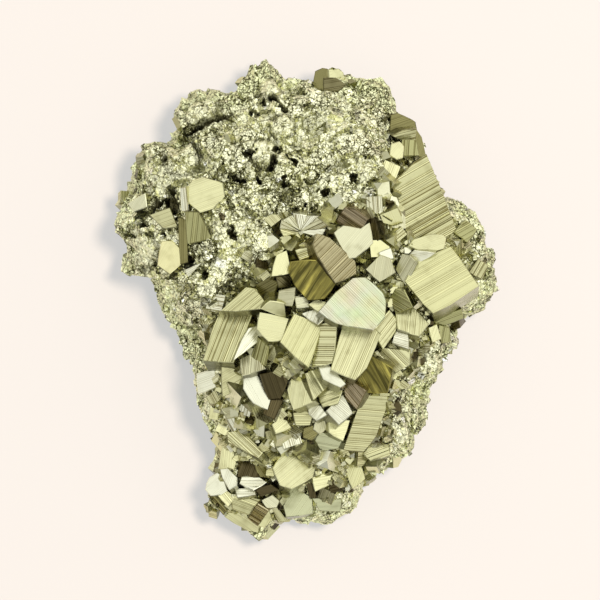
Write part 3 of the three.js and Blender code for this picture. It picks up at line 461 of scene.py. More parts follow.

# A block one unit wide, the painted light and shade of each of its faces with the top brightest, and of the
# faces that cut its corners.
BLOCK_CORNERS = [(x, y, z) for x in (-0.5, 0.5) for y in (-0.5, 0.5) for z in (-0.5, 0.5)]
BLOCK_FACES = [(0, 1, 3, 2), (4, 6, 7, 5), (0, 4, 5, 1), (2, 3, 7, 6), (0, 2, 6, 4), (1, 5, 7, 3)]
BLOCK_FACE_SHADING = [0.75, 1.2, 0.6, 1.05, 1.0, 1.25]
CUT_FACE_SHADING = 0.7
CUT_SIZE = 0.42

# Inputs of the scatter tree, and what it puts down: the shape's number, whether it is a crystal or a grain,
# then the inputs from Mask to Dark share. Sizes are in mm, distances apart in metres and densities to the
# square metre. The last table is how the blocks and grains are tinted, over ranges of a random value.
SCATTER_INPUTS = {
    "Shape": "Object", "Material": "Material", "Mask": "String", "Density": "Float", "Apart": "Float",
    "Smallest": "Float", "Largest": "Float", "Favour small": "Float", "Sink": "Float", "Tilt": "Float",
    "Dark share": "Float", "Seed": "Int",
}
SCATTERS = {
    "crust_blocks": (1, "crystal", "blocks", 0.5e6, 0.0013, 1.6, 3.6, 1.6, 0.12, 0.7, 0.06),
    "crust_chips": (2, "crystal", "chips", 1.4e6, 0.00065, 0.7, 2.0, 1.8, 0.08, 0.8, 0.07),
    "coarse_grains": (2, "grain", "granular", 0.08e6, 0.0016, 0.8, 1.7, 2.0, 0.42, 0.4, 0.03),
    "fine_grains": (2, "grain", "granular", 0.15e6, 0.0009, 0.4, 1.0, 1.5, 0.42, 0.4, 0.03),
}
FIRST_SEED = 3
BARE_SHARE = 0.004
GRAIN_SHADES = (("pale", 0.0, 0.3), ("olive_pale", 0.4, 0.7), ("grey", 0.75, 0.85), ("olive", 0.88, 1.0))

# The stage, in metres and watts: the floor, the key light, the dome and the camera over the specimen.
FLOOR_HALF = 3.0
KEY_PLACE, KEY_AIM = (0.17, 0.08, 0.84), (0, 0, 0.01)
KEY_SIZE, KEY_WATTS = 0.14, 14.9
DOME_COLOUR = (1, 1, 0.99)
DOME_LEVELS = (0.88, 1.42)
BRIGHT_WAY, BRIGHT_GAIN = (0.55, 0.45, 0.70), 0.22
DARK_WAY, DARK_LOSS = (-0.70, -0.60, 0.38), 0.40
LENS, SENSOR_WIDTH = 300.0, 36.0
CAMERA_PLACE = (-0.00102, 0.0, 0.022 + 5 / 6)


class PyriteSizes(bpy.types.PropertyGroup):
    """Sizes of the lump and of what grows on it."""

    top_height: bpy.props.FloatProperty(
        name="Top height", description="Height of the granular top", default=0.0235, unit="LENGTH")
    ridge_rise: bpy.props.FloatProperty(
        name="Ridge rise", description="Extra height under the large crystals",
        default=0.0045, unit="LENGTH")
    shoulder_rise: bpy.props.FloatProperty(
        name="Shoulder rise", description="Extra height at the granular shoulder",
        default=0.002, unit="LENGTH")
    tail_drop: bpy.props.FloatProperty(
        name="Tail drop", description="How much lower the narrow end is",
        default=0.0065, unit="LENGTH")
    knob_height: bpy.props.FloatProperty(
        name="Knob height", description="Height of the broad knobs", default=0.0022, unit="LENGTH")
    nodule_height: bpy.props.FloatProperty(
        name="Nodule height", description="Height of the nodules on the knobs",
        default=0.0012, unit="LENGTH")
    line_spacing: bpy.props.FloatProperty(
        name="Striation spacing", description="Mean distance between striations",
        default=0.00034, unit="LENGTH")
    line_height: bpy.props.FloatProperty(
        name="Striation height", description="Height of the strongest striations",
        default=0.00007, unit="LENGTH")


class PyriteColours(bpy.types.PropertyGroup):
    """Colours of the granular mass and of the stage."""

    grain: bpy.props.FloatVectorProperty(
        name="Grain", description="Fresh granular pyrite", subtype="COLOR", default=(1.0, 1.0, 0.68))
    grain_dull: bpy.props.FloatVectorProperty(
        name="Dull grain", description="Tarnished granular pyrite", subtype="COLOR",
        default=(0.92, 0.91, 0.56))
    grain_dark: bpy.props.FloatVectorProperty(
        name="Dark grain", description="Granular pyrite turned away", subtype="COLOR",
        default=(0.16, 0.155, 0.075))
    # Painted shade along the fine lines between grains.
    seam: bpy.props.FloatVectorProperty(
        name="Seam", description="Fine lines between grains", subtype="COLOR", default=(0.09, 0.085, 0.03))
    # Painted shade: this colour darkens the hollows, cracks, pits and nodule rims, as well as the dark
    # specks.
    shade_and_dirt: bpy.props.FloatVectorProperty(
        name="Crevice", description="Dirt deep between grains", subtype="COLOR",
        default=(0.06, 0.055, 0.025))
    floor: bpy.props.FloatVectorProperty(
        name="Floor", description="Pale studio floor", subtype="COLOR", default=(0.163, 0.131, 0.103))
    floor_glow: bpy.props.FloatVectorProperty(
        name="Floor glow", description="Light that fills the floor's shadows", subtype="COLOR",
        default=(0.484, 0.504, 0.516))


def sizes():
    return bpy.context.scene.pyrite_sizes


def colours():
    return bpy.context.scene.pyrite_colours


def closed_curve(points, per_span=24):
    """A smooth closed curve through the points, as many short steps."""
    points = np.array(points, float)
    before, after, beyond = (np.roll(points, k, axis=0) for k in (1, -1, -2))
    t = np.linspace(0, 1, per_span, endpoint=False)[None, :, None]
    leave, arrive = (after - before)[:, None] / 2, (beyond - points)[:, None] / 2
    start, end = points[:, None], after[:, None]
    curve = (2 * t**3 - 3 * t**2 + 1) * start + (t**3 - 2 * t**2 + t) * leave
    curve = curve + (3 * t**2 - 2 * t**3) * end + (t**3 - t**2) * arrive
    return curve.reshape(-1, points.shape[1])


def evenly_spaced(curve, count):
    """That many points along a closed curve, evenly spaced."""
    closed = np.vstack([curve, curve[:1]])
    run = np.concatenate([[0], np.cumsum(np.linalg.norm(np.diff(closed, axis=0), axis=1))])
    at = np.linspace(0, run[-1], count, endpoint=False)
    return np.stack([np.interp(at, run, closed[:, axis]) for axis in range(curve.shape[1])], axis=1)


def smoothstep(value, low, high):
    t = np.clip((value - low) / (high - low), 0, 1)
    return t * t * (3 - 2 * t)


def swell_at(x, y, centre, spread):
    """A soft swelling round a centre: 1 in the middle, dying away over the spread."""
    return np.exp(-((x - centre[0]) ** 2 + (y - centre[1]) ** 2) / (2 * spread**2))


def dome_height(x, y):
    """Height of the top of the lump away from its rim."""
    s = sizes()
    ridge = s.ridge_rise / MM * swell_at(x, y, RIDGE_CENTRE, RIDGE_SPREAD)
    shoulder = s.shoulder_rise / MM * swell_at(x, y, SHOULDER_CENTRE, SHOULDER_SPREAD)
    tail = s.tail_drop / MM * smoothstep(-y, TAIL_START, TAIL_END)
    return s.top_height / MM + ridge + shoulder - tail


def widest_share(x, y):
    """Height of the widest line as a share of the whole height."""
    return WIDEST_SHARE + WIDEST_SWING * np.sin(LOBES * np.arctan2(y, x) + LOBE_TURN)


RIM = evenly_spaced(closed_curve(OUTLINE), RIM_STEPS)


def share_of_rim(x, y):
    """How far out one place is: 0 on the axis, 1 on the outline."""
    a, b = RIM, np.roll(RIM, -1, axis=0)
    turn = a[:, 0] * b[:, 1] - a[:, 1] * b[:, 0]
    along_a = (x * b[:, 1] - y * b[:, 0]) / turn
    along_b = (a[:, 0] * y - a[:, 1] * x) / turn
    both = (along_a >= 0) & (along_b >= 0)
    return float((along_a + along_b)[both][0]) if both.any() else 0.0


def surface_height(x, y):
    """Height of the plain rounded lump at one place."""
    widest = widest_share(x, y)
    rounding = max(0.0, 1 - min(share_of_rim(x, y), 1.0) ** RIM_POWER) ** (1 / RIM_POWER)
    return dome_height(x, y) * (widest + (1 - widest) * rounding)


def corner_value(cell, turn=0.0):
    """A value between -1 and 1 that belongs to each corner of a cubic lattice."""
    wave = np.sin(cell @ np.array(LATTICE_TURN) + turn) * LATTICE_SCALE
    return 2 * (wave - np.floor(wave)) - 1


def bumps(places, spacing):
    """Smooth bumps with one value for each cell of the given spacing."""
    cell = np.floor(places / spacing)
    inside = places / spacing - cell
    blend = inside * inside * (3 - 2 * inside)
    total = np.zeros(len(places))
    for corner in itertools.product((0, 1), repeat=3):
        weight = np.prod(np.where(corner, blend, 1 - blend), axis=1)
        total += weight * corner_value(cell + corner)
    return total


def facets(places, spacing):
    """Flat cells about one spacing wide, each tilted its own way, as the height of the surface."""
    scaled = places / spacing
    base = np.floor(scaled)
    nearest = np.full(len(places), np.inf)
    height = np.zeros(len(places))
    for step in itertools.product((-1, 0, 1), repeat=3):
        cell = base + step
        jitter = np.stack([corner_value(cell, turn) for turn in CENTRE_TURNS], axis=1)
        away = scaled - cell - 0.5 - CENTRE_STRAY * jitter
        distance = (away**2).sum(axis=1)
        tilt = np.stack([corner_value(cell, turn) for turn in TILT_TURNS], axis=1)
        level = (away * tilt).sum(axis=1) + LEVEL_STRAY * corner_value(cell, LEVEL_TURN)
        closer = distance < nearest
        nearest = np.where(closer, distance, nearest)
        height = np.where(closer, level, height)
    return height * spacing


def distance_to_path(places, path):
    """Distance in plan from each place to a line through the path's points."""
    nearest = np.full(len(places), np.inf)
    for start, end in zip(path, path[1:]):
        start, along = np.array(start), np.array(end) - np.array(start)
        t = np.clip(((places[:, :2] - start) @ along) / (along @ along), 0, 1)
        off = np.linalg.norm(places[:, :2] - start - t[:, None] * along, axis=1)
        nearest = np.minimum(nearest, off)
    return nearest


def within(places, outline):
    """Which places lie inside a closed outline in plan."""
    x, y = places[:, 0], places[:, 1]
    inside = np.zeros(len(places), bool)
    for (x0, y0), (x1, y1) in zip(outline, outline[1:] + outline[:1]):
        if y0 != y1:
            inside ^= ((y0 > y) != (y1 > y)) & (x < (x1 - x0) * (y - y0) / (y1 - y0) + x0)
    return inside


def crust_share(places):
    """1 where the lump is crusted with crystals, 0 where it is granular, and a soft change between."""
    away = distance_to_path(places, CRUST + CRUST[:1])
    away = np.where(within(places, CRUST), -away, away)
    return 1 - smoothstep(away, *CRUST_EDGE)


def plan_of(row):
    """Corners of a crystal's face seen from above, counter-clockwise."""
    plan = np.array(row[0], float).reshape(-1, 2)
    x, y = plan.T
    turn = (x * np.roll(y, -1) - y * np.roll(x, -1)).sum()
    return plan if turn > 0 else plan[::-1]


def face_centre(row):
    """Middle of a crystal's face."""
    middle = plan_of(row).mean(axis=0)
    return np.array([*middle, surface_height(*middle) + row[1]])


def outside_distance(places, plan):
    """How far places lie outside a convex outline in plan; negative inside it."""
    edges = np.roll(plan, -1, axis=0) - plan
    outward = np.stack([edges[:, 1], -edges[:, 0]], axis=1) / np.linalg.norm(edges, axis=1)[:, None]
    return ((places[:, None, :2] - plan[None]) * outward[None]).sum(axis=2).max(axis=1)


def make_room(places, rows):
    """Lowers places that would come through a crystal's face, and tells how far each is from a crystal."""
    places, clear = places.copy(), np.full(len(places), np.inf)
    for row in rows:
        plan, centre = plan_of(row), face_centre(row)
        reach = np.abs(plan - centre[:2]).max() + CROWDED_REACH
        beside = (np.abs(places[:, :2] - centre[:2]) < reach).all(axis=1)
        local = np.flatnonzero(beside & (places[:, 2] > CROWDED_HEIGHT))
        if not len(local):
            continue
        away = outside_distance(places[local], plan)
        face = centre[2] + (places[local, :2] - centre[:2]) @ np.array(row[2])
        covered = (away < FACE_MARGIN) & (places[local, 2] > face - FACE_GAP)
        places[local[covered], 2] = face[covered] - FACE_GAP
        clear[local] = np.minimum(clear[local], away)
    return places, clear


class Parts:
    """Faces gathered into one mesh, with UV corners, a tint and a finish for each face.

    A finish is how striated the face is, from 0 to 1.5, whether it carries painted glints and shade streaks,
    and whether it is iridescent.
    """

    def __init__(self):
        self.places, self.faces, self.corners, self.tints, self.finishes = [], [], [], [], []

    def add(self, places, faces, corners, tints, finish):
        first = len(self.places)
        self.places.extend(places)
        self.faces.extend([[first + i for i in face] for face in faces])
        self.corners.extend(corners)
        self.tints.extend(tints)
        self.finishes.extend([finish] * len(faces))

    def mesh(self, name):
        places = (np.array(self.places) + DATUM_SHIFT) * MM
        mesh = new_mesh(name, places, self.faces)
        uv = mesh.uv_layers.new(name="UVMap")
        flat = np.array([value for face in self.corners for corner in face for value in corner], float)
        uv.data.foreach_set("uv", flat)
        tint = mesh.attributes.new("tint", "FLOAT_COLOR", "FACE")
        tint.data.foreach_set("color", np.array([(*t, 1) for t in self.tints], float).ravel())
        finish = mesh.attributes.new("finish", "FLOAT_VECTOR", "FACE")
        finish.data.foreach_set("vector", np.array(self.finishes, float).ravel())
        return mesh


def new_mesh(name, places, faces):
    mesh = bpy.data.meshes.new(name)
    mesh.from_pydata([tuple(p) for p in places], [], faces)
    mesh.validate()
    mesh.update()
    return mesh


def new_object(name, mesh):
    piece = bpy.data.objects.new(name, mesh)
    bpy.context.scene.collection.objects.link(piece)
    return piece


def clipped(polygon, low, high):
    """The part of a convex polygon whose second coordinate lies between low and high."""
    for keep, limit in ((1, low), (-1, high)):
        kept = []
        for here, following in zip(polygon, polygon[1:] + polygon[:1]):
            inside, inside_next = keep * (here[1] - limit), keep * (following[1] - limit)
            if inside >= 0:
                kept.append(here)
            if inside * inside_next < 0:
                t = inside / (inside - inside_next)
                kept.append((here[0] + t * (following[0] - here[0]), limit))
        polygon = kept
    return polygon


def striation_cuts(low, high, spacing, random):
    """Places of the striations across a face, unevenly spaced."""
    cuts = []
    at = low + spacing * random.uniform(0.4, 1.2)
    while at < high - 0.3 * spacing:
        cuts.append(at)
        at += spacing * random.choice(LINE_STEPS) * random.uniform(*STEP_CHANGE)
    return cuts


def worn(plan, random):
    """The outline a little wider, with a slight uneven bulge on each edge, as intergrown crystals have."""
    spokes = plan - plan.mean(axis=0)
    plan = plan + OVERLAP * spokes / np.linalg.norm(spokes, axis=1)[:, None]
    edges = np.roll(plan, -1, axis=0) - plan
    outward = np.stack([edges[:, 1], -edges[:, 0]], axis=1)
    share = random.uniform(*BULGE_PLACES, len(plan))[:, None]
    bulge = random.uniform(*BULGE_SIZES, len(plan))[:, None]
    return np.stack([plan, plan + share * edges + bulge * outward], axis=1).reshape(-1, 2)


def is_outline_corner(point, outline):
    return any(math.dist(point, corner) < SAME_PLACE for corner in outline)


def add_crystal(parts, row, random):
    """A prism under a tilted face whose striations are real ridges."""
    _, _, (rise_x, rise_y), depth, direction, strength, tint = row
    plan, centre = plan_of(row), face_centre(row)
    middle = centre[:2]
    normal = np.array([-rise_x, -rise_y, 1.0])
    normal /= np.linalg.norm(normal)
    angle = math.radians(direction)
    along = np.array([math.cos(angle), math.sin(angle), 0])
    along[2] = rise_x * along[0] + rise_y * along[1]
    along /= np.linalg.norm(along)
    across = np.cross(normal, along)
    plan = worn(plan, random)
    rises = (plan - middle) @ np.array([rise_x, rise_y])
    spokes = np.column_stack([plan - middle, rises])
    outline = [(float(s @ along), float(s @ across)) for s in spokes]
    turn = sum(a[0] * b[1] - a[1] * b[0] for a, b in zip(outline, outline[1:] + outline[:1]))
    if turn < 0:
        outline.reverse()
    low, high = min(c[1] for c in outline), max(c[1] for c in outline)
    spacing = sizes().line_spacing / MM * (PLAIN_SPACING - (PLAIN_SPACING - 1) * strength)
    height = sizes().line_height / MM * (PLAIN_HEIGHT + (1 - PLAIN_HEIGHT) * strength)
    cuts = striation_cuts(low, high, spacing, random)
    edges = [low - 1] + cuts + [high + 1]
    levels = {round(c, 5): height * random.uniform(-1, 1) for c in cuts}
    index, flats = {}, []

    def corner(point):
        key = (round(point[0], 4), round(point[1], 4))
        if key not in index:
            index[key] = len(flats)
            flats.append(point)
        return index[key]

    strips = []
    for start, end in zip(edges, edges[1:]):
        strip = [corner(p) for p in clipped(outline, start, end)]
        strip = [c for c, following in zip(strip, strip[1:] + strip[:1]) if c != following]
        if len(strip) >= 3:
            strips.append(strip)
    order = sorted(range(len(flats)), key=lambda c: math.atan2(flats[c][1], flats[c][0]))
    shift = random.uniform(0, PATTERN_SHIFT)
    places, rim_places, low_places = [], [], []
    for a, b in flats:
        level = levels.get(round(b, 5), 0.0)
        inset = max(DEEPEST_INSET, 1 - BEVEL / math.hypot(a, b))
        spoke = a * along + b * across
        places.append(centre + inset * spoke + level * normal)
        rim_places.append(centre + spoke + (level - RIM_DROP * BEVEL) * normal)
        low_places.append(centre + TAPER * spoke - depth * normal)
    count = len(flats)
    faces = list(strips)
    corners = [[(flats[c][0] + shift, flats[c][1] + shift) for c in strip] for strip in strips]
    lowest, highest = FACE_TONES
    shade = np.array(TINTS[tint]) * random.uniform(lowest, highest + SMALL_GAIN * (depth < SMALL_DEPTH))
    shades = [shade] * len(strips)
    run, shaded_wall = 0.0, None
    for here, following in zip(order, order[1:] + order[:1]):
        if shaded_wall is None or is_outline_corner(flats[here], outline):
            side = flats[here][0] + flats[following][0], flats[here][1] + flats[following][1]
            outward = side[0] * along + side[1] * across
            facing = float(outward[:2] @ LIT_SIDE) / np.linalg.norm(outward)
            # Painted light and shade: the wall is lighter the more it faces the lit side.
            shaded_wall = shade * (WALL_TONE + WALL_LIGHT_SWING * facing) * random.uniform(*WALL_CHANGE)
            # Painted highlight and shade: each worn rim is lit up or darkened by a random step, kept below
            # the brightest edge.
            edge = np.minimum(shade * random.choice(EDGE_LIGHT_AND_SHADE), BRIGHTEST_EDGE)
        shades += [edge, shaded_wall]
        step = math.dist(flats[here], flats[following])
        faces.append([following, here, count + here, count + following])
        faces.append([count + following, count + here, 2 * count + here, 2 * count + following])
        ahead = run + step
        for bottom in (shift - BEVEL, shift - depth):
            corners.append([(ahead, shift), (run, shift), (run, bottom), (ahead, bottom)])
        run = ahead
    faces.append([2 * count + c for c in reversed(order)])
    corners.append([(flats[c][0], flats[c][1]) for c in reversed(order)])
    shades.append(shade)
    finish = (strength, float(tint == "gold"), float(tint == "iris"))
    parts.add(places + rim_places + low_places, faces, corners, shades, finish)


class Nodes:
    """Builds one node tree: every node comes from add()."""

    def __init__(self, tree):
        self.tree = tree

    def add(self, kind, settings=None, values=None):
        """A node of that type with its settings, then its input sockets' values or links."""
        node = self.tree.nodes.new(kind)
        for key, value in (settings or {}).items():
            setattr(node, key, value)
        for key, value in (values or {}).items():
            self.put(node.inputs[key], value)
        return node

    def put(self, socket, value):
        if isinstance(value, Flow):
            value = value.socket
        if isinstance(value, bpy.types.NodeSocket):
            self.tree.links.new(value, socket)
        else:
            socket.default_value = value

    def flow(self, kind, output, settings=None, values=None):
        return Flow(self, self.add(kind, settings, values).outputs[output])

    def mixed(self, share, low, high):
        """A colour between two others."""
        settings = {"data_type": "RGBA"}
        return self.flow("ShaderNodeMix", 2, settings, {0: share, 6: low, 7: high})

    def multiplied(self, colour, other):
        """One colour times another."""
        settings = {"data_type": "RGBA", "blend_type": "MULTIPLY"}
        return self.flow("ShaderNodeMix", 2, settings, {0: 1.0, 6: colour, 7: other})

    def scaled(self, vector, scale):
        """A vector or a colour times a number."""
        return self.flow("ShaderNodeVectorMath", 0, {"operation": "SCALE"}, {0: vector, "Scale": scale})

    def vectors(self, operation, *values, output=0):
        """Vector maths on vectors or colours."""
        return self.flow("ShaderNodeVectorMath", output, {"operation": operation}, dict(enumerate(values)))

    def noise(self, place, scale, detail, output=0, **others):
        """A soft noise, with the other sockets of its node by name."""
        values = {"Vector": place, "Scale": scale, "Detail": detail, **others}
        return self.flow("ShaderNodeTexNoise", output, None, values)

    def attribute(self, name, output="Fac"):
        """A value kept on the mesh."""
        return self.flow("ShaderNodeAttribute", output, {"attribute_name": name})

    def spread(self, value, low, high, to_low=0.0, to_high=1.0):
        """A value moved from one range to another and kept inside it."""
        values = {0: value, 1: low, 2: high, 3: to_low, 4: to_high}
        return self.flow("ShaderNodeMapRange", 0, {"clamp": True}, values)


class Flow:
    """A socket that takes part in ordinary sums, so that shader maths reads as maths."""

    def __init__(self, nodes, socket):
        self.nodes, self.socket = nodes, socket

    def maths(self, operation, first, second=0.0):
        return self.nodes.flow("ShaderNodeMath", 0, {"operation": operation}, {0: first, 1: second})

    def __add__(self, other):
        return self.maths("ADD", self, other)

    def __sub__(self, other):
        return self.maths("SUBTRACT", self, other)

    def __mul__(self, other):
        return self.maths("MULTIPLY", self, other)

    def __pow__(self, other):
        return self.maths("POWER", self, other)

    def __radd__(self, other):
        return self.maths("ADD", other, self)

    def __rsub__(self, other):
        return self.maths("SUBTRACT", other, self)

    def __rmul__(self, other):
        return self.maths("MULTIPLY", other, self)


def opaque(colour):
    return (*colour, 1.0)


def new_material(name):
    material = bpy.data.materials.new(name)
    material.use_nodes = True
    material.node_tree.nodes.clear()
    return material, Nodes(material.node_tree)


def metal(nodes, colour, roughness, height=None, distance=0.0, strength=1.0):
    """A bare metallic surface, bumped by the height if there is one."""
    values = {"Base Color": colour, "Roughness": roughness, "Metallic": 1.0}
    if height is not None:
        bump = {"Height": height, "Distance": distance, "Strength": strength}
        values["Normal"] = nodes.flow("ShaderNodeBump", 0, None, bump)
    shader = nodes.add("ShaderNodeBsdfPrincipled", None, values)
    nodes.add("ShaderNodeOutputMaterial", None, {"Surface": shader.outputs[0]})


def in_mm(nodes):
    """The place on the piece in millimetres."""
    return nodes.scaled(nodes.flow("ShaderNodeTexCoord", "Object"), 1 / MM)


def warped(nodes, place, scale, amount):
    """The place pushed about by a noise, so that what reads it has uneven edges."""
    centred = nodes.vectors("SUBTRACT", nodes.noise(place, scale, 2.0, "Color"), HALF)
    return nodes.vectors("MULTIPLY_ADD", centred, (amount,) * 3, place)


def broken_cells(nodes, place, scale):
    """Flat cells each tilted its own way: their height in mm, a random value each, and their borders."""
    cells = nodes.add("ShaderNodeTexVoronoi", {"feature": "F1"}, {"Vector": place, "Scale": scale})
    away = nodes.vectors("SUBTRACT", place, cells.outputs["Position"])
    tilt = nodes.vectors("SUBTRACT", cells.outputs["Color"], HALF)
    level = nodes.vectors("DOT_PRODUCT", away, tilt, output=1)
    value = nodes.flow("ShaderNodeSeparateColor", 0, None, {0: cells.outputs["Color"]})
    settings = {"feature": "DISTANCE_TO_EDGE"}
    edge = nodes.flow("ShaderNodeTexVoronoi", 0, settings, {"Vector": place, "Scale": scale})
    return level, value, edge


def granular_material(title, tinted=False):
    """Massive pyrite broken into bright facets parted by fine dark seams of painted shade, dull with painted
    shade in its hollows and on its steep sides.
    """
    material, nodes = new_material(title)
    place = in_mm(nodes)
    uneven = warped(nodes, place, 1.5, 0.8)
    coarse, coarse_value, coarse_edge = broken_cells(nodes, uneven, COARSE_CELLS)
    fine, fine_value, fine_edge = broken_cells(nodes, uneven, FINE_CELLS)
    patches = nodes.noise(place, 0.17, 3.0)
    specks = nodes.noise(place, 1.5, 4.0, Roughness=0.7, Distortion=0.8)
    hollow_shade, calm, side = (nodes.attribute(name) for name in ("hollow_shade", "calm", "side"))
    shades = colours()
    rugged = nodes.spread(patches, 0.38, 0.6, 1.0, 0.45) * (1.0 - 0.4 * calm)
    # The side term is painted shade, a little darker on steep sides.
    tone = 0.4 * coarse_value + 0.4 * fine_value + (patches - 0.5) + 0.4 - 0.2 * calm - 0.05 * side
    dark, dull, fresh = opaque(shades.grain_dark), opaque(shades.grain_dull), opaque(shades.grain)
    colour = nodes.mixed(nodes.spread(tone, 0.05, 0.3), dark, dull)
    colour = nodes.mixed(nodes.spread(tone, 0.22, 0.55), colour, fresh)
    # Painted shade: fine dark seams along the grain borders, where the gaps would be shaded.
    seam_shade = nodes.spread(coarse_edge, 0.03, 0.1, 1.0, 0.0) * nodes.spread(specks, 0.37, 0.5)
    seam_shade = seam_shade + nodes.spread(fine_edge, 0.05, 0.2, 1.0, 0.0) * nodes.spread(specks, 0.39, 0.53)
    colour = nodes.mixed(nodes.spread(seam_shade * rugged, 0.0, 1.0), colour, opaque(shades.seam))
    # Painted shade in the hollows, plus random dark specks.
    dirt_and_shade = hollow_shade + nodes.spread(specks, 0.65, 0.71) * 0.8 * rugged
    colour = nodes.mixed(nodes.spread(dirt_and_shade, 0.0, 1.0), colour, opaque(shades.shade_and_dirt))
    # Painted shade: steep sides darker and duller.
    colour = nodes.mixed(side, colour, nodes.multiplied(colour, opaque(SIDE_SHADE)))
    if tinted:
        tint = nodes.attribute("tint", "Color")
        colour = nodes.multiplied(colour, nodes.multiplied(tint, opaque(GRAIN_TINT)))
    rough = nodes.spread(fine_value, 0.0, 1.0, 0.28, 0.42)
    metal(nodes, colour, rough, 0.3 * fine + 0.35 * coarse, MM, 1.0)
    return material


def ruled_lines(nodes, across, count):
    """Straight bands of uneven width, about that many to a millimetre: their random values and borders."""
    settings = {"voronoi_dimensions": "1D", "feature": "F1"}
    cells = nodes.flow("ShaderNodeTexVoronoi", "Color", settings, {"W": across, "Scale": count})
    settings = {"voronoi_dimensions": "1D", "feature": "DISTANCE_TO_EDGE"}
    border = nodes.flow("ShaderNodeTexVoronoi", "Distance", settings, {"W": across, "Scale": count})
    return nodes.flow("ShaderNodeSeparateColor", 0, None, {0: cells}), border


def crystal_material():
    """Crystal faces, mirror bright with fine striations along the face's own direction, darkened with
    painted shade in their grooves, with painted highlights on some lines and painted glints on gold faces.
    """
    material, nodes = new_material("striated_pyrite")
    uv = nodes.flow("ShaderNodeUVMap", 0, {"uv_map": "UVMap"})
    axes = nodes.add("ShaderNodeSeparateXYZ", None, {0: uv})
    along, across = Flow(nodes, axes.outputs[0]), Flow(nodes, axes.outputs[1])
    place = nodes.flow("ShaderNodeTexCoord", "Object")
    finish = nodes.attribute("finish", "Vector")
    parts = nodes.add("ShaderNodeSeparateXYZ", None, {0: finish}).outputs
    strength, painted_glints, play = (Flow(nodes, part) for part in parts)
    tint = nodes.attribute("tint", "Color")
    uneven = nodes.flow("ShaderNodeCombineXYZ", 0, None, {0: along * 0.12, 1: across * 0.5, 2: 0.0})
    fade = nodes.noise(uneven, 1.0, 2.0)
    bent = across + along * 0.004 + fade * 0.03
    (broad, groove), (narrow, scratch) = (ruled_lines(nodes, bent, count) for count in LINES_PER_MM)
    stain = nodes.noise(place, 420.0, 6.0)
    shown = nodes.spread(fade, 0.3, 0.55, 0.5, 1.0)
    grooves = nodes.spread(groove, 0.04, 0.14, 1.0, 0.0) * nodes.spread(broad, 0.2, 0.4) * strength
    scratches = nodes.spread(scratch, 0.08, 0.26, 1.0, 0.0) * nodes.spread(narrow, 0.3, 0.6)
    ruled = grooves * 0.9 + scratches * 1.1 + nodes.spread(broad, 0.6, 0.66) * 0.14 * strength
    # Painted shade in the striation grooves, plus real stains.
    dark = ruled * shown * strength * 1.4 + nodes.spread(stain, 0.55, 0.75) * 0.25
    shaded_groove = nodes.multiplied(tint, opaque(GROOVE_SHADE))
    # Painted highlight: some fine striation lines are lifted brighter.
    bright = nodes.spread(narrow, 0.7, 0.75) * strength * 0.28 + 1.0
    colour = nodes.mixed(nodes.spread(dark, 0.0, 1.0), nodes.scaled(tint, bright), shaded_groove)
    stretched = nodes.flow("ShaderNodeCombineXYZ", 0, None, {0: along * 0.12, 1: across * 0.8, 2: 7.0})
    patches = nodes.noise(stretched, 1.0, 3.0, Distortion=0.6)
    # Painted reflections: gold faces are streaked with painted shadow, glow and sparks.
    shadow, glow, spark = (opaque(tint) for tint in GLINT_TINTS)
    glint = nodes.mixed(nodes.spread(patches, 0.4, 0.56), shadow, glow)
    glint = nodes.mixed(nodes.spread(patches, 0.56, 0.66), glint, spark)
    colour = nodes.mixed(painted_glints, colour, nodes.multiplied(colour, glint))
    hue = nodes.noise(place, 260.0, 2.0, "Color")
    film = nodes.vectors("MULTIPLY_ADD", hue, FILM_SWING, FILM_TINT)
    colour = nodes.mixed(play, colour, nodes.multiplied(colour, film))
    rough = nodes.spread(stain, 0.3, 0.7, 0.2, 0.38)
    height = (broad * 0.6 + narrow * 0.4) * strength + stain * 0.3
    metal(nodes, colour, rough, height, LINE_DEPTH, 0.8)
    return material


def finish_piece(piece, material):
    """Puts one finished piece on the specimen's body and in its material slot."""
    piece.data.materials.clear()
    piece.data.materials.append(material)
    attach(piece, "root")
    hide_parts(NODE)


def lump_rings():
    """Share of the outline, evening, height up the side and rounding of every ring, foot first."""
    rings = []
    for angle in np.linspace(0, math.pi / 2, SIDE_RINGS, endpoint=False):
        share = CUT_SHARE + (1 - CUT_SHARE) * math.sin(angle)
        rings.append((share, math.cos(angle), 1 - math.cos(angle), 0.0))
    even = np.linspace(0, 1, TOP_STEPS)
    share = np.cos(even * math.pi / 2) ** (2 / RIM_POWER)
    rounding = np.sin(even * math.pi / 2) ** (2 / RIM_POWER)
    steps = np.hypot(np.diff(share) * TOP_REACH, np.diff(rounding) * TOP_RISE)
    run = np.concatenate([[0], np.cumsum(steps)])
    at = np.interp(np.linspace(0, run[-1], TOP_RINGS + 1)[:-1], run, even)
    for t in at:
        angle = t * math.pi / 2
        rings.append((math.cos(angle) ** (2 / RIM_POWER), 0.0, 1.0, math.sin(angle) ** (2 / RIM_POWER)))
    return np.array(rings)


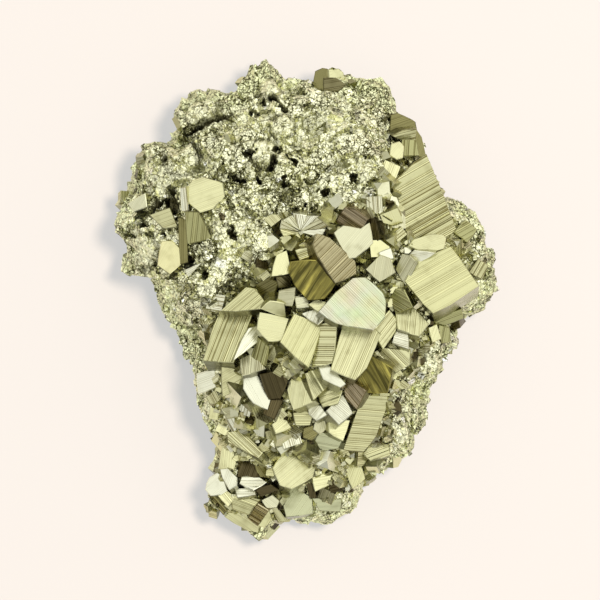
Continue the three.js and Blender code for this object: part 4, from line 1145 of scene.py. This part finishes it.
def lump_surface():
    """Places and outward directions of the lump with its knobs and nodules, and which lie on the cut."""
    rim = evenly_spaced(closed_curve(OUTLINE), RIM_COUNT)
    reach = round(EVENING_SHARE * RIM_COUNT)
    evened = sum(np.roll(rim, k, axis=0) for k in range(-reach, reach + 1)) / (2 * reach + 1)
    share, evening, side, rounding = (column[:, None] for column in lump_rings().T)
    level = (rim[None] * (1 - evening[..., None]) + evened[None] * evening[..., None]) * share[..., None]
    x, y = level[..., 0], level[..., 1]
    widest = widest_share(x, y)
    z = dome_height(x, y) * (widest * side + (1 - widest) * rounding)
    radius = np.maximum(np.hypot(x, y), SHORTEST_REACH)
    outward = share**RIM_POWER / radius
    upward = rounding ** (RIM_POWER - 1) / (sizes().top_height / MM * (1 - WIDEST_SHARE)) + 0 * x
    direction = np.stack([x / radius * outward, y / radius * outward, upward], axis=-1).reshape(-1, 3)
    direction /= np.linalg.norm(direction, axis=1)[:, None]
    places = np.stack([x, y, z], axis=-1).reshape(-1, 3)
    swell = sizes().knob_height / MM * bumps(places, KNOB_SPACING)
    swell += sizes().nodule_height / MM * bumps(places, NODULE_SPACING)
    on_cut = places[:, 2] == 0
    places = places + direction * swell[:, None]
    places[:, 2] = np.where(on_cut, 0, np.maximum(places[:, 2], LOWEST_ABOVE_CUT))
    return places, direction, on_cut


def lump_mesh(places, name):
    """The closed mesh over rings of places, with a flat foot and a crown."""
    rings = len(places) // RIM_COUNT
    crown = places[-RIM_COUNT:].mean(axis=0)
    everything = np.vstack([places, crown, [0, 0, 0]])
    top, foot = len(places), len(places) + 1
    faces = []
    last = (rings - 1) * RIM_COUNT
    for i in range(RIM_COUNT):
        following = (i + 1) % RIM_COUNT
        faces.append((foot, following, i))
        faces.append((last + i, last + following, top))
    ring = np.arange(RIM_COUNT)
    turned = (ring + 1) % RIM_COUNT
    for level in range(rings - 1):
        low, high = level * RIM_COUNT, (level + 1) * RIM_COUNT
        faces.extend(np.stack([low + ring, low + turned, high + turned, high + ring], axis=1).tolist())
    return new_mesh(name, (everything + DATUM_SHIFT) * MM, faces)


def opened(places, top, ragged):
    """1 in the cracks and pits, which are all on the top, and 0 away from them."""
    found = np.zeros(len(places))
    ragged_line = RAGGED_LINE * bumps(places + RAGGED_LINE_OFFSET, RAGGED_LINE_SPACING)
    for path in CRACKS:
        away = distance_to_path(places, path) + ragged_line
        found = np.maximum(found, top * (1 - smoothstep(away, *CRACK_EDGE)))
    for index, (x, y, radius) in enumerate(PITS):
        turn = GOLDEN_TURN * index
        east, north = places[:, 0] - x, places[:, 1] - y
        along = east * math.cos(turn) + north * math.sin(turn)
        across = north * math.cos(turn) - east * math.sin(turn)
        away = np.hypot(along / PIT_LENGTH, across / PIT_WIDTH) + ragged
        found = np.maximum(found, top * (1 - smoothstep(away, PIT_EDGE * radius, radius)))
    return found


def swollen_parts(places, top, ragged):
    """How far the rounded nodules stand out, how dark the painted shade round their rims is, and how calm
    their surface is.
    """
    swollen, rim_shade, calm = (np.zeros(len(places)) for _ in range(3))
    for x, y, radius, rise in NODULES:
        away = np.hypot(places[:, 0] - x, places[:, 1] - y) / radius + NODULE_RAGGED * ragged
        swollen = np.maximum(swollen, rise * top * np.clip(1 - away**2, 0, 1) ** NODULE_ROUNDING)
        from_rim = smoothstep(np.abs(away - NODULE_RIM), *RIM_EDGE)
        rim_shade = np.maximum(rim_shade, RIM_DARKNESS * top * (1 - from_rim))
        calm = np.maximum(calm, top * (1 - smoothstep(away, *CALM_EDGE)))
    return swollen, rim_shade, calm


@functools.lru_cache(maxsize=None)
def granular_places():
    """Places on the lump's broken surface, and for each how much painted shade it gets in hollows, cracks,
    pits and round nodules, and how calm, steep and crusted it is.

    The last value is how far the place lies from the nearest crystal, in mm.
    """
    places, direction, on_cut = lump_surface()
    zone = crust_share(places)
    broken = sum(rise * facets(places + offset, width) for width, rise, offset in BROKEN_SIZES)
    ragged = RAGGED * facets(places + RAGGED_OFFSET, RAGGED_SPACING)
    top = smoothstep(direction[:, 2], *TOP_SLOPES)
    side = 1 - smoothstep(direction[:, 2], *SIDE_SLOPES)
    valley = bumps(places, NODULE_SPACING)
    open_ground = opened(places, top, ragged)
    swollen, rim_shade, calm = swollen_parts(places, top, ragged)
    broken *= 1 - CALMING * calm
    depth = broken + swollen - CRUST_SINK * zone - OPEN_DEPTH * open_ground
    places = places + direction * np.where(on_cut, 0, depth)[:, None]
    places, clear = make_room(places, CRYSTALS.values())
    places[:, 2] = np.where(on_cut, 0, np.maximum(places[:, 2], LOWEST_BROKEN))
    # Painted shade: darker in low facets, cracks and pits, round the nodules and in the valleys between
    # them.
    hollow_shade = np.clip(smoothstep(-broken, 0.15, 0.6) * 0.3 + open_ground + rim_shade, 0, 1)
    hollow_shade = np.clip(hollow_shade + 0.15 * smoothstep(-valley, 0.2, 0.7), 0, 1)
    return places, hollow_shade, calm, side, zone, clear


def put_attribute(mesh, name, values):
    """Keeps one value for each place of the lump; the crown and the foot get none."""
    layer = mesh.attributes.new(name, "FLOAT", "POINT")
    layer.data.foreach_set("value", np.concatenate([values, np.zeros(len(mesh.vertices) - len(values))]))


class PYRITE_OT_granular_mass(bpy.types.Operator):
    """Make the granular lump under the crystals"""

    bl_idname = "pyrite.granular_mass"
    bl_label = "Granular mass"

    def execute(self, context):
        places, hollow_shade, calm, side, _, _ = granular_places()
        mesh = lump_mesh(places, "granular_mass")
        for name, values in (("hollow_shade", hollow_shade), ("calm", calm), ("side", side)):
            put_attribute(mesh, name, values)
        piece = new_object("granular_mass", mesh)
        finish_piece(piece, granular_material("granular_pyrite"))
        return {"FINISHED"}


class PYRITE_OT_crystals(bpy.types.Operator):
    """Make the large and middle-sized striated crystals"""

    bl_idname = "pyrite.crystals"
    bl_label = "Striated crystals"

    def execute(self, context):
        random = np.random.default_rng(CRYSTAL_SEED)
        parts = Parts()
        for row in CRYSTALS.values():
            add_crystal(parts, row, random)
        piece = new_object("striated_crystals", parts.mesh("striated_crystals"))
        finish_piece(piece, crystal_material())
        return {"FINISHED"}


def block_shape(name, cut_corners):
    """A block one millimetre wide, with some corners cut off, striated faces and painted light and shade for
    each face.
    """
    corners = [np.array(c) for c in BLOCK_CORNERS]
    faces = [list(face) for face in BLOCK_FACES]
    for cut in cut_corners:
        near, fresh = {}, []
        for face in faces:
            if cut in face:
                at = face.index(cut)
                ends = []
                for other in (face[at - 1], face[(at + 1) % len(face)]):
                    if other not in near:
                        near[other] = len(corners)
                        corners.append(corners[cut] + CUT_SIZE * (corners[other] - corners[cut]))
                    ends.append(near[other])
                face[at:at + 1] = ends
                fresh.append(ends)
        loop = [fresh[0][1], fresh[0][0]]
        while len(loop) < len(near):
            loop.append(next(ends[0] for ends in fresh if ends[1] == loop[-1]))
        faces.append(loop)
    used = sorted({i for face in faces for i in face})
    places = [corners[i] for i in used]
    faces = [[used.index(i) for i in face] for face in faces]
    mesh = new_mesh(name, np.array(places) * MM, faces)
    uv = mesh.uv_layers.new(name="UVMap")
    tone = mesh.attributes.new("face_tone", "FLOAT", "FACE")
    for index, polygon in enumerate(mesh.polygons):
        tone.data[index].value = BLOCK_FACE_SHADING[index] if index < len(BLOCK_FACE_SHADING) else CUT_FACE_SHADING
        across, along = (index // 2 + 1) % 3, (index // 2 + 2) % 3
        for loop in polygon.loop_indices:
            place = places[mesh.loops[loop].vertex_index]
            uv.data[loop].uv = (3 * place[along] + index, 3 * place[across] + 2 * index)
    return new_object(name, mesh)


def scatter_tree(name):
    """The tree that grows a shape on random spots of a surface, each one turned and tinted its own way."""
    tree = bpy.data.node_groups.new(name, "GeometryNodeTree")
    face = tree.interface
    face.new_socket("Geometry", in_out="INPUT", socket_type="NodeSocketGeometry")
    for title, kind in SCATTER_INPUTS.items():
        face.new_socket(title, in_out="INPUT", socket_type="NodeSocket" + kind)
    face.new_socket("Geometry", in_out="OUTPUT", socket_type="NodeSocketGeometry")
    nodes = Nodes(tree)
    given = nodes.add("NodeGroupInput").outputs
    seed = Flow(nodes, given["Seed"])

    def chance(step):
        return nodes.flow("FunctionNodeRandomValue", 1, {"data_type": "FLOAT"}, {"Seed": seed + step})

    def chance_vector(step, low, high):
        values = {"Seed": seed + step, 0: (low,) * 3, 1: (high,) * 3}
        return nodes.flow("FunctionNodeRandomValue", 0, {"data_type": "FLOAT_VECTOR"}, values)

    def stored(geometry, kind, domain, title, value):
        settings = {"data_type": kind, "domain": domain}
        return nodes.flow("GeometryNodeStoreNamedAttribute", 0, settings,
                          {"Geometry": geometry, "Name": title, "Value": value})

    mask = nodes.flow("GeometryNodeInputNamedAttribute", 0, {"data_type": "FLOAT"}, {"Name": given["Mask"]})
    values = {"Mesh": given["Geometry"], "Distance Min": given["Apart"], "Density Max": given["Density"],
              "Density Factor": mask, "Seed": given["Seed"]}
    spots = nodes.add("GeometryNodeDistributePointsOnFaces", {"distribute_method": "POISSON"}, values)
    smallest = Flow(nodes, given["Smallest"])
    spread = Flow(nodes, given["Largest"]) - smallest
    size = smallest + spread * chance(1) ** given["Favour small"]
    drop = nodes.scaled(spots.outputs["Normal"], size * given["Sink"] * -MM)
    values = {"Geometry": spots.outputs["Points"], "Offset": drop}
    moved = nodes.flow("GeometryNodeSetPosition", 0, None, values)
    shape = nodes.flow("GeometryNodeObjectInfo", "Geometry", None, {"Object": given["Shape"]})
    values = {"Points": moved, "Instance": shape, "Rotation": spots.outputs["Rotation"],
              "Scale": nodes.scaled(chance_vector(9, 0.7, 1.15), size)}
    grown = nodes.flow("GeometryNodeInstanceOnPoints", 0, None, values)
    lean = [(2 * chance(step) - 1) * given["Tilt"] for step in (5, 6)]
    turn = nodes.flow("ShaderNodeCombineXYZ", 0, None, {0: lean[0], 1: lean[1], 2: 2 * math.pi * chance(7)})
    values = {"Instances": grown, "Rotation": turn, "Local Space": True}
    grown = nodes.flow("GeometryNodeRotateInstances", 0, None, values)
    pick, dark = chance(13), chance(17)
    tint = opaque(TINTS["white"])
    for shade, low, high in GRAIN_SHADES:
        tint = nodes.mixed(nodes.spread(pick, low, high), tint, opaque(TINTS[shade]))
    is_dark = nodes.flow("ShaderNodeMath", 0, {"operation": "LESS_THAN"}, {0: dark, 1: given["Dark share"]})
    tint = nodes.mixed(is_dark, tint, opaque(TINTS["umber"]))
    kept = stored(grown, "FLOAT_COLOR", "INSTANCE", "tint", tint)
    finish = nodes.flow("ShaderNodeCombineXYZ", 0, None, {0: chance(21), 1: 0.0, 2: 0.0})
    kept = stored(kept, "FLOAT_VECTOR", "INSTANCE", "finish", finish)
    real = nodes.flow("GeometryNodeRealizeInstances", 0, None, {"Geometry": kept})
    tint = nodes.flow("GeometryNodeInputNamedAttribute", 0, {"data_type": "FLOAT_COLOR"}, {"Name": "tint"})
    tone = nodes.flow("GeometryNodeInputNamedAttribute", 0, {"data_type": "FLOAT"}, {"Name": "face_tone"})
    # Painted light and shade: each face's tint times its face shading.
    toned = stored(real, "FLOAT_COLOR", "FACE", "tint", nodes.scaled(tint, tone))
    values = {"Geometry": toned, "Material": given["Material"]}
    done = nodes.flow("GeometryNodeSetMaterial", 0, None, values)
    nodes.add("NodeGroupOutput", None, {0: done})
    return tree


def scattered(name, ground, tree, inputs):
    """A new piece: what the scatter tree makes on the ground with those inputs."""
    modifier = ground.modifiers.new(name, "NODES")
    modifier.node_group = tree
    names = {item.name: item.identifier for item in tree.interface.items_tree if item.in_out == "INPUT"}
    for title, value in inputs.items():
        modifier[names[title]] = value
    bpy.context.view_layer.update()
    depsgraph = bpy.context.evaluated_depsgraph_get()
    mesh = bpy.data.meshes.new_from_object(ground.evaluated_get(depsgraph))
    ground.modifiers.remove(modifier)
    mesh.name = name
    flat = np.empty(len(mesh.vertices) * 3)
    mesh.vertices.foreach_get("co", flat)
    flat[2::3] = np.maximum(flat[2::3], 0)
    mesh.vertices.foreach_set("co", flat)
    return new_object(name, mesh)


class PYRITE_OT_grains(bpy.types.Operator):
    """Scatter small crystals over the crust and grains over the granular mass"""

    bl_idname = "pyrite.grains"
    bl_label = "Small crystals and grains"

    def execute(self, context):
        places, hollow_shade, calm, _, zone, clear = granular_places()
        mesh = lump_mesh(places, "ground")
        level = smoothstep(places[:, 2], 0.8, 2.0)
        crusted = BARE_SHARE + (1 - BARE_SHARE) * zone
        masks = {
            "granular": level * (clear > 0.1) * (hollow_shade < 0.9) * (1 - 0.5 * zone) * (1 - 0.8 * calm),
            "blocks": level * (clear > 0.8) * crusted,
            "chips": level * (clear > 0.12) * crusted,
        }
        for name, values in masks.items():
            put_attribute(mesh, name, values)
        ground = new_object("ground", mesh)
        cuts = {"block": (), "cut_block": (7,), "twice_cut_block": (0, 7)}
        shapes = [block_shape(name, cut_corners) for name, cut_corners in cuts.items()]
        tree = scatter_tree("scatter_grains")
        grain = granular_material("pyrite_grains", tinted=True)
        materials = {"crystal": crystal_material(), "grain": grain}
        for seed, (name, (shape, kind, *settings)) in enumerate(SCATTERS.items(), FIRST_SEED):
            values = (shapes[shape], materials[kind], *settings, seed)
            piece = scattered(name, ground, tree, dict(zip(SCATTER_INPUTS, values)))
            finish_piece(piece, materials[kind])
        for thing in (ground, *shapes):
            bpy.data.objects.remove(thing)
        return {"FINISHED"}


def area_light(name, place, aim, size, watts):
    """A soft round light that the camera and the mirror-like faces don't see."""
    light = bpy.data.lights.new(name, "AREA")
    light.shape, light.size, light.energy = "DISK", size, watts
    lamp = bpy.data.objects.new(name, light)
    bpy.context.scene.collection.objects.link(lamp)
    lamp.location = place
    lamp.rotation_mode = "QUATERNION"
    lamp.rotation_quaternion = (Vector(aim) - Vector(place)).to_track_quat("-Z", "Y")
    lamp.visible_camera = False
    lamp.visible_glossy = False


def make_floor():
    """A pale floor that gives back some of the light its shadows would take."""
    corners = [(FLOOR_HALF * x, FLOOR_HALF * y, 0) for x, y in ((-1, -1), (1, -1), (1, 1), (-1, 1))]
    mesh = new_mesh("floor", corners, [(0, 1, 2, 3)])
    material, nodes = new_material("floor")
    paper = nodes.add("ShaderNodeBsdfDiffuse", None, {"Color": opaque(colours().floor)})
    glow = nodes.add("ShaderNodeEmission", None, {"Color": opaque(colours().floor_glow), "Strength": 1.0})
    shader = nodes.add("ShaderNodeAddShader", None, {0: paper.outputs[0], 1: glow.outputs[0]})
    nodes.add("ShaderNodeOutputMaterial", None, {"Surface": shader.outputs[0]})
    mesh.materials.append(material)
    floor = new_object("floor", mesh)


def studio_world():
    """A soft dome, brighter on one side than on the other."""
    world = bpy.data.worlds.new("studio")
    world.use_nodes = True
    world.node_tree.nodes.clear()
    sky = Nodes(world.node_tree)
    way = sky.flow("ShaderNodeTexCoord", "Generated")
    up = sky.flow("ShaderNodeSeparateXYZ", 2, None, {0: way})
    bright = sky.vectors("DOT_PRODUCT", way, BRIGHT_WAY, output=1)
    dark = sky.vectors("DOT_PRODUCT", way, DARK_WAY, output=1)
    level = sky.spread(up, 0.0, 1.0, *DOME_LEVELS) + BRIGHT_GAIN * sky.spread(bright, 0.4, 1.0)
    level = level - DARK_LOSS * sky.spread(dark, 0.5, 1.0)
    background = sky.add("ShaderNodeBackground", None, {"Color": opaque(DOME_COLOUR), "Strength": level})
    sky.add("ShaderNodeOutputWorld", None, {"Surface": background.outputs[0]})
    return world


def overhead_camera():
    """A long lens straight above the specimen."""
    camera = bpy.data.cameras.new("camera")
    camera.sensor_width, camera.lens = SENSOR_WIDTH, LENS
    eye = bpy.data.objects.new("camera", camera)
    bpy.context.scene.collection.objects.link(eye)
    eye.location = CAMERA_PLACE
    return eye


class PYRITE_OT_stage(bpy.types.Operator):
    """Set the floor, the soft light and the camera over the specimen"""

    bl_idname = "pyrite.stage"
    bl_label = "Stage"

    def execute(self, context):
        scene = context.scene
        make_floor()
        area_light("key", KEY_PLACE, KEY_AIM, KEY_SIZE, KEY_WATTS)
        scene.world = studio_world()
        scene.camera = overhead_camera()
        scene.view_settings.view_transform = "Standard"
        return {"FINISHED"}


OPERATORS = (PYRITE_OT_granular_mass, PYRITE_OT_crystals, PYRITE_OT_grains, PYRITE_OT_stage)


class PYRITE_PT_panel(bpy.types.Panel):
    """Buttons for every piece of the specimen"""

    bl_label = "Pyrite Specimen"
    bl_idname = "PYRITE_PT_panel"
    bl_space_type = "VIEW_3D"
    bl_region_type = "UI"
    bl_category = "Pyrite"

    def draw(self, context):
        for operator in OPERATORS:
            self.layout.operator(operator.bl_idname)


CLASSES = (PyriteSizes, PyriteColours, *OPERATORS, PYRITE_PT_panel)


def register():
    for cls in CLASSES:
        bpy.utils.register_class(cls)
    bpy.types.Scene.pyrite_sizes = bpy.props.PointerProperty(type=PyriteSizes)
    bpy.types.Scene.pyrite_colours = bpy.props.PointerProperty(type=PyriteColours)


def unregister():
    del bpy.types.Scene.pyrite_colours
    del bpy.types.Scene.pyrite_sizes
    for cls in reversed(CLASSES):
        bpy.utils.unregister_class(cls)


def main():
    register()
    bpy.ops.pyrite.granular_mass()
    bpy.ops.pyrite.crystals()
    bpy.ops.pyrite.grains()
    bpy.ops.pyrite.stage()


if __name__ == "__main__":
    main()
